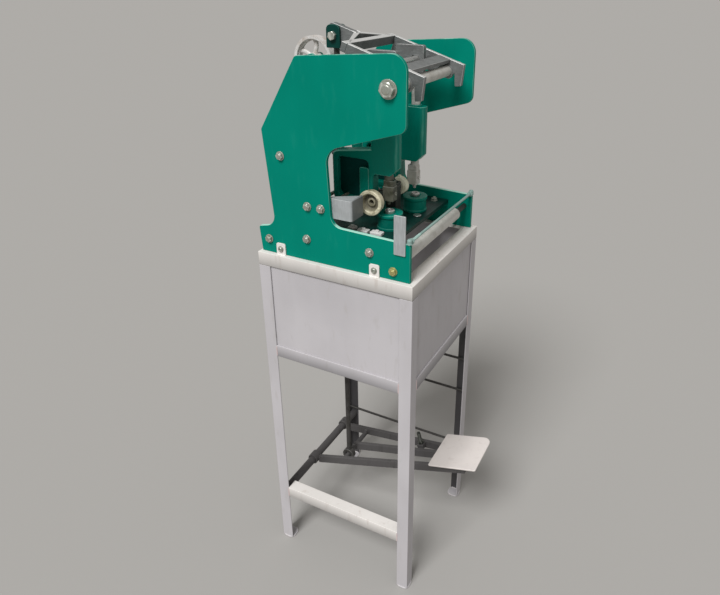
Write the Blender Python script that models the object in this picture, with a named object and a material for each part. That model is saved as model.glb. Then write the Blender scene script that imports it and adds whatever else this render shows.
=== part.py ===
"""Foot-pressed twin eyelet punching machine on an angle-iron stand.

All lengths are in metres and all angles in radians.  X runs to the right as the worker sees it, -Y is
the front, +Z is up.  The stand's own sizes are measured from the floor, the machine's from the top of
the stand, the pedal's from its shaft and the top lever's from its pivot bolt.  The finished machine is
centred over the origin, with the soles of its feet at z = 0.
"""
import math

import bmesh
import bpy
from mathutils import Vector

# Clearances and overruns that every piece shares
GAP = 0.0003
OVERRUN = 0.002
WELD = 0.0005
ROUND_SIDES = 24
SMALL_SIDES = 12
HEXAGON_SIDES = 6
ARC_STEP = math.radians(22.5)
SHARP_ANGLE = math.radians(32)

# Stand: angle-iron frame
STAND_WIDTH = 0.350
STAND_DEPTH = 0.360
STAND_HEIGHT = 0.818
ANGLE_FLANGE = 0.028
ANGLE_WALL = 0.003
TOP_FLANGE = 0.030
MID_RAIL_TOP = 0.593
LOW_RUNG_TOP = 0.1735
FOOT_PAD_SIDE = 0.032
FOOT_PAD_THICKNESS = 0.004
FOOT_PAD_OVERHANG = 0.002
PANEL_THICKNESS = 0.0012
SIDE_BAR_RADIUS = 0.0038
LOWER_BAR_HEIGHT = 0.352
UPPER_BAR_HEIGHT = 0.449
SIDE_BAR_INSET = 0.0078

# Lugs that stand on the side rails and clamp the side plates
LUG_THICKNESS = 0.003
LUG_WIDTH = 0.022
LUG_HEIGHT = 0.026
REAR_LUG_Y = 0.125
FRONT_LUG_Y = -0.094

# Pedal lever, measured from its shaft
PEDAL_SHAFT_RADIUS = 0.010
PEDAL_SHAFT_INSET = 0.014
PEDAL_AXIS_Y = STAND_DEPTH / 2 - PEDAL_SHAFT_INSET
PEDAL_AXIS_Z = 0.155
LOW_BAR_ABOVE_SHAFT = 0.023
PEDAL_SLOPE = math.radians(15.6)
HUB_RADIUS = 0.014
HUB_LENGTH = 0.024
LEFT_HUB_X = -0.037
RIGHT_HUB_X = 0.117
PEDAL_BAR_WIDTH = 0.010
PEDAL_BAR_DEPTH = 0.020
PEDAL_BAR_DROP = 0.006
PEDAL_BAR_START = 0.010
PEDAL_BAR_END = 0.430
LEFT_BAR_REAR_X = -0.034
LEFT_BAR_FRONT_X = -0.008
RIGHT_BAR_REAR_X = 0.112
RIGHT_BAR_FRONT_X = 0.050
MIDDLE_BAR_X = 0.034
PEDAL_CROSS_RADIUS = 0.006
PAD_LEFT = -0.025
PAD_RIGHT = 0.100
PAD_LENGTH = 0.125
PAD_REACH = 0.466
PAD_THICKNESS = 0.004
PAD_CORNER = 0.022
PAD_SMALL_CORNER = 0.004
STOP_LUG_REACH = 0.282
STOP_LUG_SIDE = 0.018
STOP_LUG_HEIGHT = 0.012
STOP_BOLT_RADIUS = 0.005
STOP_BOLT_RISE = 0.034
STOP_BOLT_DROP = 0.004
STOP_NUT_RADIUS = 0.0085
STOP_NUT_HEIGHT = 0.007

# Pull rod between the pedal and the top lever, and its spring
ROD_Y = 0.080
ROD_RADIUS = 0.006
ROD_EYE_RADIUS = 0.016
ROD_EYE_WIDTH = 0.014
ROD_EYE_PLAY = 0.0018
COLLAR_RADIUS = 0.018
COLLAR_HEIGHT = 0.008
SPRING_HEIGHT = 0.120
SPRING_RADIUS = 0.0135
SPRING_WIRE_RADIUS = 0.0014
SPRING_TURNS = 11
SPRING_POINTS_PER_TURN = 10
ROD_HOLE_RADIUS = 0.011

# Clevis that joins the pull rod to the lever's tail
TAIL_PIN_Z = 0.423
CLEVIS_HALF_LENGTH = 0.0155
CLEVIS_WALL = 0.006
CLEVIS_DROP = 0.0235
CLEVIS_RISE = 0.021
CLEVIS_FLOOR = 0.008
CLEVIS_CORNER = 0.010
CLEVIS_PIN_RADIUS = 0.005
CLEVIS_HEAD_RADIUS = 0.009
CLEVIS_HEAD_HEIGHT = 0.007

# Side plates of the machine
MACHINE_INSET = 0.010
MACHINE_HALF_WIDTH = STAND_WIDTH / 2 - MACHINE_INSET
SIDE_THICKNESS = 0.008
SIDE_FOOT_REAR = 0.170
SIDE_HEEL_REAR = 0.176
SIDE_HEEL_Z = 0.055
SIDE_WAIST_Y = 0.133
SIDE_WAIST_Z = 0.064
SIDE_BACK_Y = 0.150
SIDE_BACK_Z = 0.260
SIDE_CROWN_Y = 0.061
SIDE_CROWN_Z = 0.400
SIDE_NOSE_Y = -0.157
SIDE_NOSE_TOP = 0.4185
SIDE_NOSE_BOTTOM = 0.287
THROAT_TOP_Z = 0.235
THROAT_BACK_Y = 0.009
THROAT_FLOOR_Y = 0.002
THROAT_FLOOR_Z = 0.085
JAW_FRONT_Y = -0.169
JAW_FRONT_Z = 0.080
SIDE_SMALL_CORNER = 0.006
SIDE_WAIST_CORNER = 0.034
SIDE_BACK_CORNER = 0.012
NOSE_CORNER = 0.029
CHIN_CORNER = 0.018
THROAT_TOP_CORNER = 0.036
THROAT_FLOOR_CORNER = 0.024

# Tie rods through both side plates: place from front to back and height
TIE_ROD_RADIUS = 0.004
TIE_HEAD_RADIUS = 0.0075
TIE_HEAD_HEIGHT = 0.0055
TIE_WASHER_RADIUS = 0.009
TIE_WASHER_HEIGHT = 0.0016
BACK_TIE_Y = 0.112
BACK_TIE_Z = 0.212
HEAD_TIE_REAR_Y = 0.055
HEAD_TIE_FRONT_Y = 0.024
HEAD_TIE_Z = 0.118
BED_TIE_REAR_Y = 0.060
BED_TIE_FRONT_Y = -0.083
BED_TIE_Z = 0.048
HEEL_TIE_Y = 0.154
HEEL_TIE_Z = 0.031
TOE_TIE_Y = -0.134
TOE_TIE_Z = 0.019

# Top lever, measured from its pivot bolt
PIVOT_Y = -0.123
PIVOT_Z = 0.358
LEVER_SLOPE = math.radians(17.3)
PIVOT_BOLT_RADIUS = 0.007
PIVOT_HEAD_RADIUS = 0.0145
PIVOT_HEAD_HEIGHT = 0.009
PIVOT_WASHER_RADIUS = 0.017
PIVOT_WASHER_HEIGHT = 0.0025
PIVOT_SLEEVE_RADIUS = 0.011
ARM_X = 0.095
ARM_WIDTH = 0.010
ARM_FRONT = -0.034
ARM_REAR = 0.131
ARM_TOP = 0.024
ARM_BOTTOM = -0.014
ARM_LEG_REAR = -0.012
ARM_LEG_FOOT_REAR = -0.020
ARM_LEG_FOOT_FRONT = -0.044
ARM_LEG_FOOT_REAR_Z = -0.023
ARM_LEG_FOOT_FRONT_Z = -0.016
CROSS_BAR_LENGTH = 0.025
CROSS_BAR_HEIGHT = 0.008
YOKE_BAR_WIDTH = 0.012
YOKE_BAR_HEIGHT = 0.018
YOKE_APEX = 0.176
TAIL_END = 0.230
TAIL_HALF_WIDTH = 0.008
TAIL_HEIGHT = 0.031

# Rams, their cross pin and their punch holders
HEAD_X = 0.060
RAM_Y = -0.070
RAM_PIN_Z = 0.380
RAM_PIN_RADIUS = 0.008
RAM_SLOT_PLAY = 0.0042
RAM_PLATE_WIDTH = 0.012
RAM_PLATE_FRONT = 0.017
RAM_PLATE_REAR = 0.044
RAM_PLATE_TOP = 0.408
RAM_PLATE_BOTTOM = 0.352
RAM_PLATE_CORNER = 0.004
RAM_RADIUS = 0.009
HOLDER_HALF_WIDTH = 0.010
HOLDER_FRONT = 0.014
HOLDER_REAR = 0.010
HOLDER_TOP = 0.162
HOLDER_STEP = 0.150
HOLDER_STEP_WIDTH = 0.005
HOLDER_BOTTOM = 0.120
PUNCH_RADIUS = 0.005
PUNCH_TIP_Z = 0.1105

# Eyelet heads: the two castings that guide the rams
HEAD_HALF_WIDTH = 0.014
HEAD_REAR = 0.066
HEAD_BOTTOM = 0.098
HEAD_TOP = 0.235
HEAD_FRONT_WALL = -0.030
HEAD_SHOULDER_Y = -0.046
GUIDE_TOP = 0.288
GUIDE_FRONT = -0.094
GUIDE_BOTTOM = 0.173
GUIDE_CHAMFER_Y = -0.078
GUIDE_CHAMFER_Z = 0.189
HEAD_CORNER = 0.014
HEAD_SMALL_CORNER = 0.005
WINDOW_FRONT = -0.019
WINDOW_REAR = 0.045
WINDOW_BOTTOM = 0.130
WINDOW_TOP = 0.200
WINDOW_CORNER = 0.008

# Bed, dies and the feed above them
BED_THICKNESS = 0.008
BED_FRONT = -0.112
BED_REAR = 0.104
DIE_Y = -0.072
DIE_CUP_RADIUS = 0.021
DIE_CUP_TOP = 0.094
DIE_CUP_BASE_RADIUS = 0.024
DIE_CUP_BASE_HEIGHT = 0.008
DIE_RADIUS = 0.010
DIE_TOP = 0.100
DIE_SPIGOT_RADIUS = 0.006
DIE_SPIGOT_DEPTH = 0.012
DIE_BORE_RADIUS = 0.0055
DIE_BORE_DEPTH = 0.004
FEED_Y = -0.049
FEED_Z = 0.122
FEED_SHAFT_RADIUS = 0.005
FEED_DRUM_RADIUS = 0.025
FEED_DRUM_LEFT = -0.103
FEED_DRUM_LENGTH = 0.025
FEED_DRUM_CAVITY = 0.018
FEED_DRUM_CAVITY_DEPTH = 0.012
FEED_DRUM_LIP = 0.003
FEED_COLLAR_RADIUS = 0.017
FEED_COLLAR_LEFT = 0.026
FEED_COLLAR_LENGTH = 0.020
FEED_SHAFT_END = 0.060
FEED_HUB_RADIUS = 0.010
FEED_BEARING_HALF_WIDTH = 0.012
FEED_BEARING_HALF_DEPTH = 0.013
FEED_BEARING_RISE = 0.016
FEED_SCREW_RADIUS = 0.0045
FEED_SCREW_HEIGHT = 0.010

# Bars, rods and brackets at the front of the machine
FRONT_BAR_Y = -0.152
FRONT_BAR_Z = 0.052
FRONT_BAR_RADIUS = 0.0135
GAUGE_ROD_Y = -0.1655
GAUGE_ROD_Z = 0.0765
GAUGE_ROD_RADIUS = 0.0028
GAUGE_NUT_RADIUS = 0.0062
GAUGE_NUT_LENGTH = 0.010
GAUGE_KNOB_RADIUS = 0.0085
GAUGE_KNOB_LENGTH = 0.007
GAUGE_KNOB_INSET = 0.018
STOP_BRACKET_REAR = -0.136
STOP_BRACKET_WIDTH = 0.024
STOP_BRACKET_BOTTOM = 0.056
STOP_BRACKET_TOP = 0.135
STOP_BRACKET_THICKNESS = 0.003
THROAT_BRACKET_FRONT = -0.040
THROAT_BRACKET_REAR = 0.030
THROAT_BRACKET_BOTTOM = 0.099
THROAT_BRACKET_TOP = 0.145
THROAT_BRACKET_THICKNESS = 0.004
THROAT_BRACKET_DRUM_PLAY = 0.009

# Rear idler wheel and the fork that carries it
WHEEL_X = 0.038
WHEEL_Y = 0.158
WHEEL_Z = 0.370
WHEEL_RADIUS = 0.047
WHEEL_HALF_WIDTH = 0.011
WHEEL_RIM = 0.008
WHEEL_HUB_RADIUS = 0.012
WHEEL_SPOKES = 5
WHEEL_SPOKE_WIDTH = 0.009
WHEEL_SPOKE_HALF_THICKNESS = 0.004
WHEEL_PIN_RADIUS = 0.005
WHEEL_PIN_HEAD_RADIUS = 0.008
WHEEL_PIN_HEAD_HEIGHT = 0.005
FORK_WALL = 0.005
FORK_SIDE_PLAY = 0.0015
FORK_FOOT_WIDTH = 0.034
FORK_TOP_WIDTH = 0.022
FORK_CROTCH_DEPTH = 0.056
FORK_FOOT_DROP = 0.016
FORK_CORNER = 0.008


def arc_points(corner, before, after, radius):
    """Points of the arc that rounds one corner of an outline.

    The arc is tangent to both sides; a zero radius keeps the sharp corner, and a fillet never takes
    more than half of the shorter side.
    """
    if radius == 0:
        return [tuple(corner)]
    back = (before - corner)
    ahead = (after - corner)
    half_angle = back.angle(ahead) / 2
    limit = min(back.length, ahead.length) / 2
    tangent = min(radius / math.tan(half_angle), limit)
    radius = tangent * math.tan(half_angle)
    back.normalize()
    ahead.normalize()
    centre = corner + (back + ahead).normalized() * (radius / math.sin(half_angle))
    start = corner + back * tangent - centre
    sweep = start.angle_signed(corner + ahead * tangent - centre)
    steps = max(2, math.ceil(abs(sweep) / ARC_STEP))
    points = []
    for step in range(steps + 1):
        turn = -sweep * step / steps
        x = start.x * math.cos(turn) - start.y * math.sin(turn)
        y = start.x * math.sin(turn) + start.y * math.cos(turn)
        points.append((centre.x + x, centre.y + y))
    return points


def rounded(corners):
    """Outline through (a, b, fillet radius) corners, with every fillet as an arc."""
    flat = [Vector((a, b)) for a, b, _ in corners]
    outline = []
    for index, (_, _, radius) in enumerate(corners):
        following = flat[(index + 1) % len(flat)]
        outline += arc_points(flat[index], flat[index - 1], following, radius)
    return outline


def circle(a, b, radius, sides=ROUND_SIDES):
    """Outline of a round bar, with a flat facing each axis."""
    turn = math.tau / sides
    return [(a + radius * math.cos(turn * (side + 0.5)), b + radius * math.sin(turn * (side + 0.5)))
            for side in range(sides)]


def rectangle(a_low, a_high, b_low, b_high):
    """Outline of a rectangle."""
    return [(a_low, b_low), (a_high, b_low), (a_high, b_high), (a_low, b_high)]


def solid_between(first, second):
    """Closed solid whose two ends are the given rings of corners, joined side by side."""
    mesh = bmesh.new()
    start = [mesh.verts.new(point) for point in first]
    end = [mesh.verts.new(point) for point in second]
    mesh.faces.new(start)
    mesh.faces.new(end)
    for index in range(len(start)):
        following = (index + 1) % len(start)
        mesh.faces.new((start[index], start[following], end[following], end[index]))
    bmesh.ops.recalc_face_normals(mesh, faces=mesh.faces)
    data = bpy.data.meshes.new("solid")
    mesh.to_mesh(data)
    mesh.free()
    made = bpy.data.objects.new("solid", data)
    bpy.context.collection.objects.link(made)
    return made


def extruded(outline, axis, low, high):
    """Outline pushed along one axis, from low to high.

    The outline's pairs are (y, z) for axis X, (x, z) for axis Y and (x, y) for axis Z.
    """
    place = {"X": lambda a, b, along: (along, a, b),
             "Y": lambda a, b, along: (a, along, b),
             "Z": lambda a, b, along: (a, b, along)}[axis]
    return solid_between([place(a, b, low) for a, b in outline], [place(a, b, high) for a, b in outline])


def block(x_low, x_high, y_low, y_high, z_low, z_high):
    """Square-edged block."""
    return extruded(rectangle(x_low, x_high, y_low, y_high), "Z", z_low, z_high)


def round_bar(axis, a, b, radius, low, high, sides=ROUND_SIDES):
    """Round bar along an axis."""
    return extruded(circle(a, b, radius, sides), axis, low, high)


def boolean(body, other, operation):
    """Cut the other solid from the body, or join it to the body, and delete it."""
    modifier = body.modifiers.new(operation.lower(), "BOOLEAN")
    modifier.operation = operation
    modifier.solver = "EXACT"
    modifier.object = other
    graph = bpy.context.evaluated_depsgraph_get()
    body.data = bpy.data.meshes.new_from_object(body.evaluated_get(graph))
    body.modifiers.clear()
    bpy.data.objects.remove(other)
    return body


def joined(solids):
    """One body from solids that overlap where they are welded."""
    body = solids[0]
    for other in solids[1:]:
        body = boolean(body, other, "UNION")
    return body


def cut(body, cutters):
    """Body less each cutter."""
    for cutter in cutters:
        body = boolean(body, cutter, "DIFFERENCE")
    return body


def datum(name, location, parent=None, tilt=0.0):
    """Empty that holds the pieces of one sub-assembly, turned about X by tilt."""
    empty = bpy.data.objects.new(name, None)
    empty.location = location
    empty.rotation_euler = (tilt, 0, 0)
    empty.parent = parent
    bpy.context.collection.objects.link(empty)
    return empty


def material(name, colour, roughness, metallic):
    """Principled material for one piece."""
    made = bpy.data.materials.new(name)
    made.use_nodes = True
    shader = made.node_tree.nodes["Principled BSDF"]
    shader.inputs["Base Color"].default_value = (*colour, 1.0)
    shader.inputs["Roughness"].default_value = roughness
    shader.inputs["Metallic"].default_value = metallic
    made.diffuse_color = (*colour, 1.0)
    return made


# Finishes: linear colour, roughness and metallic value
GREEN_PAINT = ((0.003, 0.205, 0.141), 0.42, 0.0)
GREY_PAINT = ((0.47, 0.46, 0.47), 0.55, 0.0)
PALE_PAINT = ((0.75, 0.73, 0.70), 0.50, 0.0)
BARE_STEEL = ((0.42, 0.42, 0.43), 0.38, 0.9)
BRIGHT_STEEL = ((0.62, 0.61, 0.60), 0.25, 1.0)
DARK_STEEL = ((0.06, 0.06, 0.065), 0.50, 0.7)
CREAM_CASTING = ((0.66, 0.60, 0.42), 0.40, 0.2)
ZINC = ((0.60, 0.60, 0.58), 0.35, 0.9)
YELLOW_ZINC = ((0.62, 0.48, 0.16), 0.35, 0.9)


def piece(name, body, finish, parent):
    """Name a finished solid, give it its own material and hang it on its datum."""
    body.name = name
    body.data.name = name
    colour, roughness, metallic = finish
    body.data.materials.clear()
    body.data.materials.append(material(name, colour, roughness, metallic))
    body.data.shade_smooth()
    body.data.set_sharp_from_angle(angle=SHARP_ANGLE)
    body.parent = parent
    return body


# Stand
def angle_profile(flange_in, flange_down):
    """Angle iron seen end on, as (distance in from the outer face, height below the top) pairs."""
    return [(0, 0), (flange_in, 0), (flange_in, -ANGLE_WALL), (ANGLE_WALL, -ANGLE_WALL),
            (ANGLE_WALL, -flange_down), (0, -flange_down)]


def side_frame(side):
    """Half length, distance from the centre and placing function of a side of the stand."""
    half_width = STAND_WIDTH / 2
    half_depth = STAND_DEPTH / 2
    return {"front": (half_width, half_depth, lambda along, out, z: (along, -out, z)),
            "right": (half_depth, half_width, lambda along, out, z: (out, along, z)),
            "rear": (half_width, half_depth, lambda along, out, z: (-along, out, z)),
            "left": (half_depth, half_width, lambda along, out, z: (-out, -along, z))}[side]


def mitred_rail(side, top, flange_in, flange_down):
    """Top rail of one side, mitred at 45 degrees where it meets its neighbours."""
    half_length, distance, place = side_frame(side)
    profile = angle_profile(flange_in, flange_down)
    ends = []
    for way in (-1, 1):
        ends.append([place(way * (half_length - inward - GAP), distance - inward, top + down)
                     for inward, down in profile])
    return solid_between(ends[0], ends[1])


def square_rail(side, top):
    """Rail welded between the edges of two legs."""
    half_length, distance, place = side_frame(side)
    reach = half_length - ANGLE_FLANGE - GAP
    profile = angle_profile(ANGLE_FLANGE, ANGLE_FLANGE)
    ends = []
    for way in (-1, 1):
        ends.append([place(way * reach, distance - inward, top + down) for inward, down in profile])
    return solid_between(ends[0], ends[1])


def leg(x_side, y_side):
    """Leg of angle iron with its welded foot pad."""
    corner_x = x_side * STAND_WIDTH / 2
    corner_y = y_side * STAND_DEPTH / 2
    profile = [(0, 0), (ANGLE_FLANGE, 0), (ANGLE_FLANGE, ANGLE_WALL), (ANGLE_WALL, ANGLE_WALL),
               (ANGLE_WALL, ANGLE_FLANGE), (0, ANGLE_FLANGE)]
    outline = [(corner_x - x_side * a, corner_y - y_side * b) for a, b in profile]
    top = STAND_HEIGHT - TOP_FLANGE - GAP
    post = extruded(outline, "Z", FOOT_PAD_THICKNESS - WELD, top)
    outer_x = corner_x + x_side * FOOT_PAD_OVERHANG
    outer_y = corner_y + y_side * FOOT_PAD_OVERHANG
    inner_x = outer_x - x_side * FOOT_PAD_SIDE
    inner_y = outer_y - y_side * FOOT_PAD_SIDE
    pad = block(min(outer_x, inner_x), max(outer_x, inner_x), min(outer_y, inner_y),
                max(outer_y, inner_y), 0, FOOT_PAD_THICKNESS)
    return joined([post, pad])


def panel(side):
    """Sheet between a top rail and the mid rail below it, just inside the legs' flanges."""
    half_length, distance, place = side_frame(side)
    outer = distance - ANGLE_WALL - GAP
    inner = outer - PANEL_THICKNESS
    reach = half_length - ANGLE_WALL - GAP
    if side in ("front", "rear"):
        reach -= PANEL_THICKNESS + GAP
    low = MID_RAIL_TOP + GAP
    high = STAND_HEIGHT - ANGLE_WALL - GAP
    ends = []
    for along in (-reach, reach):
        ends.append([place(along, outer, low), place(along, inner, low),
                     place(along, inner, high), place(along, outer, high)])
    return solid_between(ends[0], ends[1])


def rail_with_lugs(side):
    """Side rail with the two lugs that clamp a side plate of the machine."""
    rail = mitred_rail(side, STAND_HEIGHT, TOP_FLANGE, TOP_FLANGE)
    way = {"left": -1, "right": 1}[side]
    inner = way * (MACHINE_HALF_WIDTH + GAP)
    outer = inner + way * LUG_THICKNESS
    lugs = []
    for middle in (REAR_LUG_Y, FRONT_LUG_Y):
        lugs.append(block(min(inner, outer), max(inner, outer), middle - LUG_WIDTH / 2,
                          middle + LUG_WIDTH / 2, STAND_HEIGHT - WELD, STAND_HEIGHT + LUG_HEIGHT))
    return joined([rail] + lugs)


def build_stand(root):
    """Legs, rails, panels, rungs and the pedal's shaft."""
    for x_name, x_side in (("left", -1), ("right", 1)):
        for y_name, y_side in (("front", -1), ("rear", 1)):
            piece(f"leg_{y_name}_{x_name}", leg(x_side, y_side), GREY_PAINT, root)
    for side in ("front", "rear"):
        rail = mitred_rail(side, STAND_HEIGHT, TOP_FLANGE, TOP_FLANGE)
        piece(f"top_rail_{side}", rail, GREY_PAINT, root)
    for side in ("left", "right"):
        piece(f"top_rail_{side}", rail_with_lugs(side), GREY_PAINT, root)
    for side in ("front", "rear", "left", "right"):
        piece(f"mid_rail_{side}", square_rail(side, MID_RAIL_TOP), GREY_PAINT, root)
    for side in ("front", "left", "right"):
        piece(f"panel_{side}", panel(side), GREY_PAINT, root)
    piece("low_rung_left", square_rail("left", LOW_RUNG_TOP), GREY_PAINT, root)
    bar_x = STAND_WIDTH / 2 - SIDE_BAR_INSET
    bar_end = STAND_DEPTH / 2 - ANGLE_WALL - GAP
    for name, height in (("low_bar_right", PEDAL_AXIS_Z + LOW_BAR_ABOVE_SHAFT),
                         ("side_bar_lower", LOWER_BAR_HEIGHT), ("side_bar_upper", UPPER_BAR_HEIGHT)):
        bar = round_bar("Y", bar_x, height, SIDE_BAR_RADIUS, -bar_end, bar_end, SMALL_SIDES)
        piece(name, bar, GREY_PAINT, root)
    shaft_end = STAND_WIDTH / 2 - ANGLE_WALL - GAP
    shaft = round_bar("X", PEDAL_AXIS_Y, PEDAL_AXIS_Z, PEDAL_SHAFT_RADIUS, -shaft_end, shaft_end)
    piece("pedal_shaft", shaft, GREY_PAINT, root)


# Pedal, in the frame of its shaft: y runs back along the lever, z is square to it
def pedal_cross_place():
    """Distance along the lever from the shaft to the cross bar under the pull rod."""
    level = PEDAL_AXIS_Y - ROD_Y
    return (level - PEDAL_BAR_DROP * math.sin(PEDAL_SLOPE)) / math.cos(PEDAL_SLOPE)


def bar_x_at(rear_x, front_x, along):
    """Sideways place of a slanting pedal bar at a distance from the shaft."""
    share = (along - PEDAL_BAR_START) / (PEDAL_BAR_END - PEDAL_BAR_START)
    return rear_x + (front_x - rear_x) * share


def pedal_bar(rear_x, front_x, start):
    """Flat bar on edge that runs forward from a hub to the pedal plate."""
    top = PEDAL_BAR_DEPTH / 2 - PEDAL_BAR_DROP
    bottom = top - PEDAL_BAR_DEPTH
    half = PEDAL_BAR_WIDTH / 2
    rings = []
    for along in (start, PEDAL_BAR_END):
        x = bar_x_at(rear_x, front_x, along)
        rings.append([(x - half, -along, bottom), (x + half, -along, bottom),
                      (x + half, -along, top), (x - half, -along, top)])
    return solid_between(rings[0], rings[1])


def build_pedal(root):
    """Welded pedal frame that turns on the rear shaft, and its plate."""
    pivot = datum("pedal_pivot", (0, PEDAL_AXIS_Y, PEDAL_AXIS_Z), root, -PEDAL_SLOPE)
    cross = pedal_cross_place()
    solids = []
    for hub_x in (LEFT_HUB_X, RIGHT_HUB_X):
        low = hub_x - HUB_LENGTH / 2
        solids.append(round_bar("X", 0, 0, HUB_RADIUS, low, low + HUB_LENGTH))
    solids.append(pedal_bar(LEFT_BAR_REAR_X, LEFT_BAR_FRONT_X, PEDAL_BAR_START))
    solids.append(pedal_bar(RIGHT_BAR_REAR_X, RIGHT_BAR_FRONT_X, PEDAL_BAR_START))
    left_x = bar_x_at(LEFT_BAR_REAR_X, LEFT_BAR_FRONT_X, cross)
    right_x = bar_x_at(RIGHT_BAR_REAR_X, RIGHT_BAR_FRONT_X, cross)
    solids.append(pedal_bar(MIDDLE_BAR_X, MIDDLE_BAR_X, cross))
    solids.append(round_bar("X", -cross, -PEDAL_BAR_DROP, PEDAL_CROSS_RADIUS, left_x, right_x,
                            SMALL_SIDES))
    bar_top = PEDAL_BAR_DEPTH / 2 - PEDAL_BAR_DROP
    bar_x = bar_x_at(RIGHT_BAR_REAR_X, RIGHT_BAR_FRONT_X, STOP_LUG_REACH)
    lug_high = bar_x - PEDAL_BAR_WIDTH / 2 + WELD
    lug_low = lug_high - STOP_LUG_SIDE
    solids.append(block(lug_low, lug_high, -STOP_LUG_REACH - STOP_LUG_SIDE / 2,
                        -STOP_LUG_REACH + STOP_LUG_SIDE / 2, bar_top - STOP_LUG_HEIGHT, bar_top))
    frame = joined(solids)
    bolt_x = (lug_low + lug_high) / 2
    bores = [round_bar("Z", bolt_x, -STOP_LUG_REACH, STOP_BOLT_RADIUS + GAP,
                       bar_top - STOP_LUG_HEIGHT - OVERRUN, bar_top + OVERRUN, SMALL_SIDES)]
    for hub_x in (LEFT_HUB_X, RIGHT_HUB_X):
        low = hub_x - HUB_LENGTH / 2 - OVERRUN
        bores.append(round_bar("X", 0, 0, PEDAL_SHAFT_RADIUS + GAP, low,
                               low + HUB_LENGTH + 2 * OVERRUN))
    piece("pedal_frame", cut(frame, bores), GREY_PAINT, pivot)

    shank = round_bar("Z", bolt_x, -STOP_LUG_REACH, STOP_BOLT_RADIUS,
                      bar_top - STOP_LUG_HEIGHT - STOP_BOLT_DROP, bar_top + STOP_BOLT_RISE, SMALL_SIDES)
    nut = round_bar("Z", bolt_x, -STOP_LUG_REACH, STOP_NUT_RADIUS, bar_top + GAP,
                    bar_top + GAP + STOP_NUT_HEIGHT, HEXAGON_SIDES)
    piece("pedal_stop_bolt", joined([shank, nut]), DARK_STEEL, pivot)

    underside = bar_top + GAP
    outline = rounded([(PAD_LEFT, -PAD_REACH, PAD_SMALL_CORNER), (PAD_RIGHT, -PAD_REACH, PAD_CORNER),
                       (PAD_RIGHT, -PAD_REACH + PAD_LENGTH, PAD_SMALL_CORNER),
                       (PAD_LEFT, -PAD_REACH + PAD_LENGTH, PAD_SMALL_CORNER)])
    plate = extruded(outline, "Z", underside, underside + PAD_THICKNESS)
    piece("pedal_plate", plate, PALE_PAINT, pivot)


# Pull rod with its clevis and spring, in the frame of the tail pin
def build_pull_rod(machine):
    """Rod from the pedal's cross bar up to the clevis, and the spring that lifts it."""
    pivot = datum("pull_rod_pivot", (0, ROD_Y, TAIL_PIN_Z), machine)
    lower_pin_z = pedal_cross_height() - STAND_HEIGHT - TAIL_PIN_Z
    spring_seat = bed_top() - TAIL_PIN_Z + GAP
    collar_low = spring_seat + SPRING_HEIGHT + GAP
    top = -CLEVIS_DROP - GAP
    rod = round_bar("Z", 0, 0, ROD_RADIUS, lower_pin_z, top, SMALL_SIDES)
    collar = round_bar("Z", 0, 0, COLLAR_RADIUS, collar_low, collar_low + COLLAR_HEIGHT)
    eye = round_bar("X", 0, lower_pin_z, ROD_EYE_RADIUS, -ROD_EYE_WIDTH / 2, ROD_EYE_WIDTH / 2)
    hole = round_bar("X", 0, lower_pin_z, PEDAL_CROSS_RADIUS + ROD_EYE_PLAY,
                     -ROD_EYE_WIDTH, ROD_EYE_WIDTH)
    piece("pull_rod", cut(joined([rod, collar, eye]), [hole]), BARE_STEEL, pivot)

    half_width = TAIL_HALF_WIDTH + GAP + CLEVIS_WALL
    outline = rounded([(-CLEVIS_HALF_LENGTH, -CLEVIS_DROP, 0), (CLEVIS_HALF_LENGTH, -CLEVIS_DROP, 0),
                       (CLEVIS_HALF_LENGTH, CLEVIS_RISE, CLEVIS_CORNER),
                       (-CLEVIS_HALF_LENGTH, CLEVIS_RISE, CLEVIS_CORNER)])
    lug = extruded(outline, "X", -half_width, half_width)
    inside = TAIL_HALF_WIDTH + GAP
    slot = block(-inside, inside, -CLEVIS_HALF_LENGTH - OVERRUN, CLEVIS_HALF_LENGTH + OVERRUN,
                 -CLEVIS_DROP + CLEVIS_FLOOR, CLEVIS_RISE + OVERRUN)
    lug = cut(lug, [slot])
    reach = half_width + CLEVIS_HEAD_HEIGHT
    pin = round_bar("X", 0, 0, CLEVIS_PIN_RADIUS, -reach + WELD, reach - WELD, SMALL_SIDES)
    near_head = round_bar("X", 0, 0, CLEVIS_HEAD_RADIUS, -reach, -half_width + WELD,
                          HEXAGON_SIDES)
    far_head = round_bar("X", 0, 0, CLEVIS_HEAD_RADIUS, half_width - WELD, reach,
                         HEXAGON_SIDES)
    piece("tail_clevis", joined([lug, pin, near_head, far_head]), GREEN_PAINT, pivot)


def pedal_cross_height():
    """Height above the floor of the cross bar that the pull rod hooks on."""
    rise = pedal_cross_place() * math.sin(PEDAL_SLOPE)
    return PEDAL_AXIS_Z + rise - PEDAL_BAR_DROP * math.cos(PEDAL_SLOPE)


def bed_top():
    """Height of the bed plate's upper face above the stand."""
    return BED_TIE_Z + TIE_ROD_RADIUS + GAP + BED_THICKNESS


def least_self_gap(points, wire_radius, skip):
    """Least clear gap between two stretches of a coiled wire that are at least skip points apart."""
    least = math.inf
    for first in range(len(points)):
        for second in range(first + skip, len(points)):
            apart = (points[first] - points[second]).length - 2 * wire_radius
            least = min(least, apart)
    return least


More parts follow.
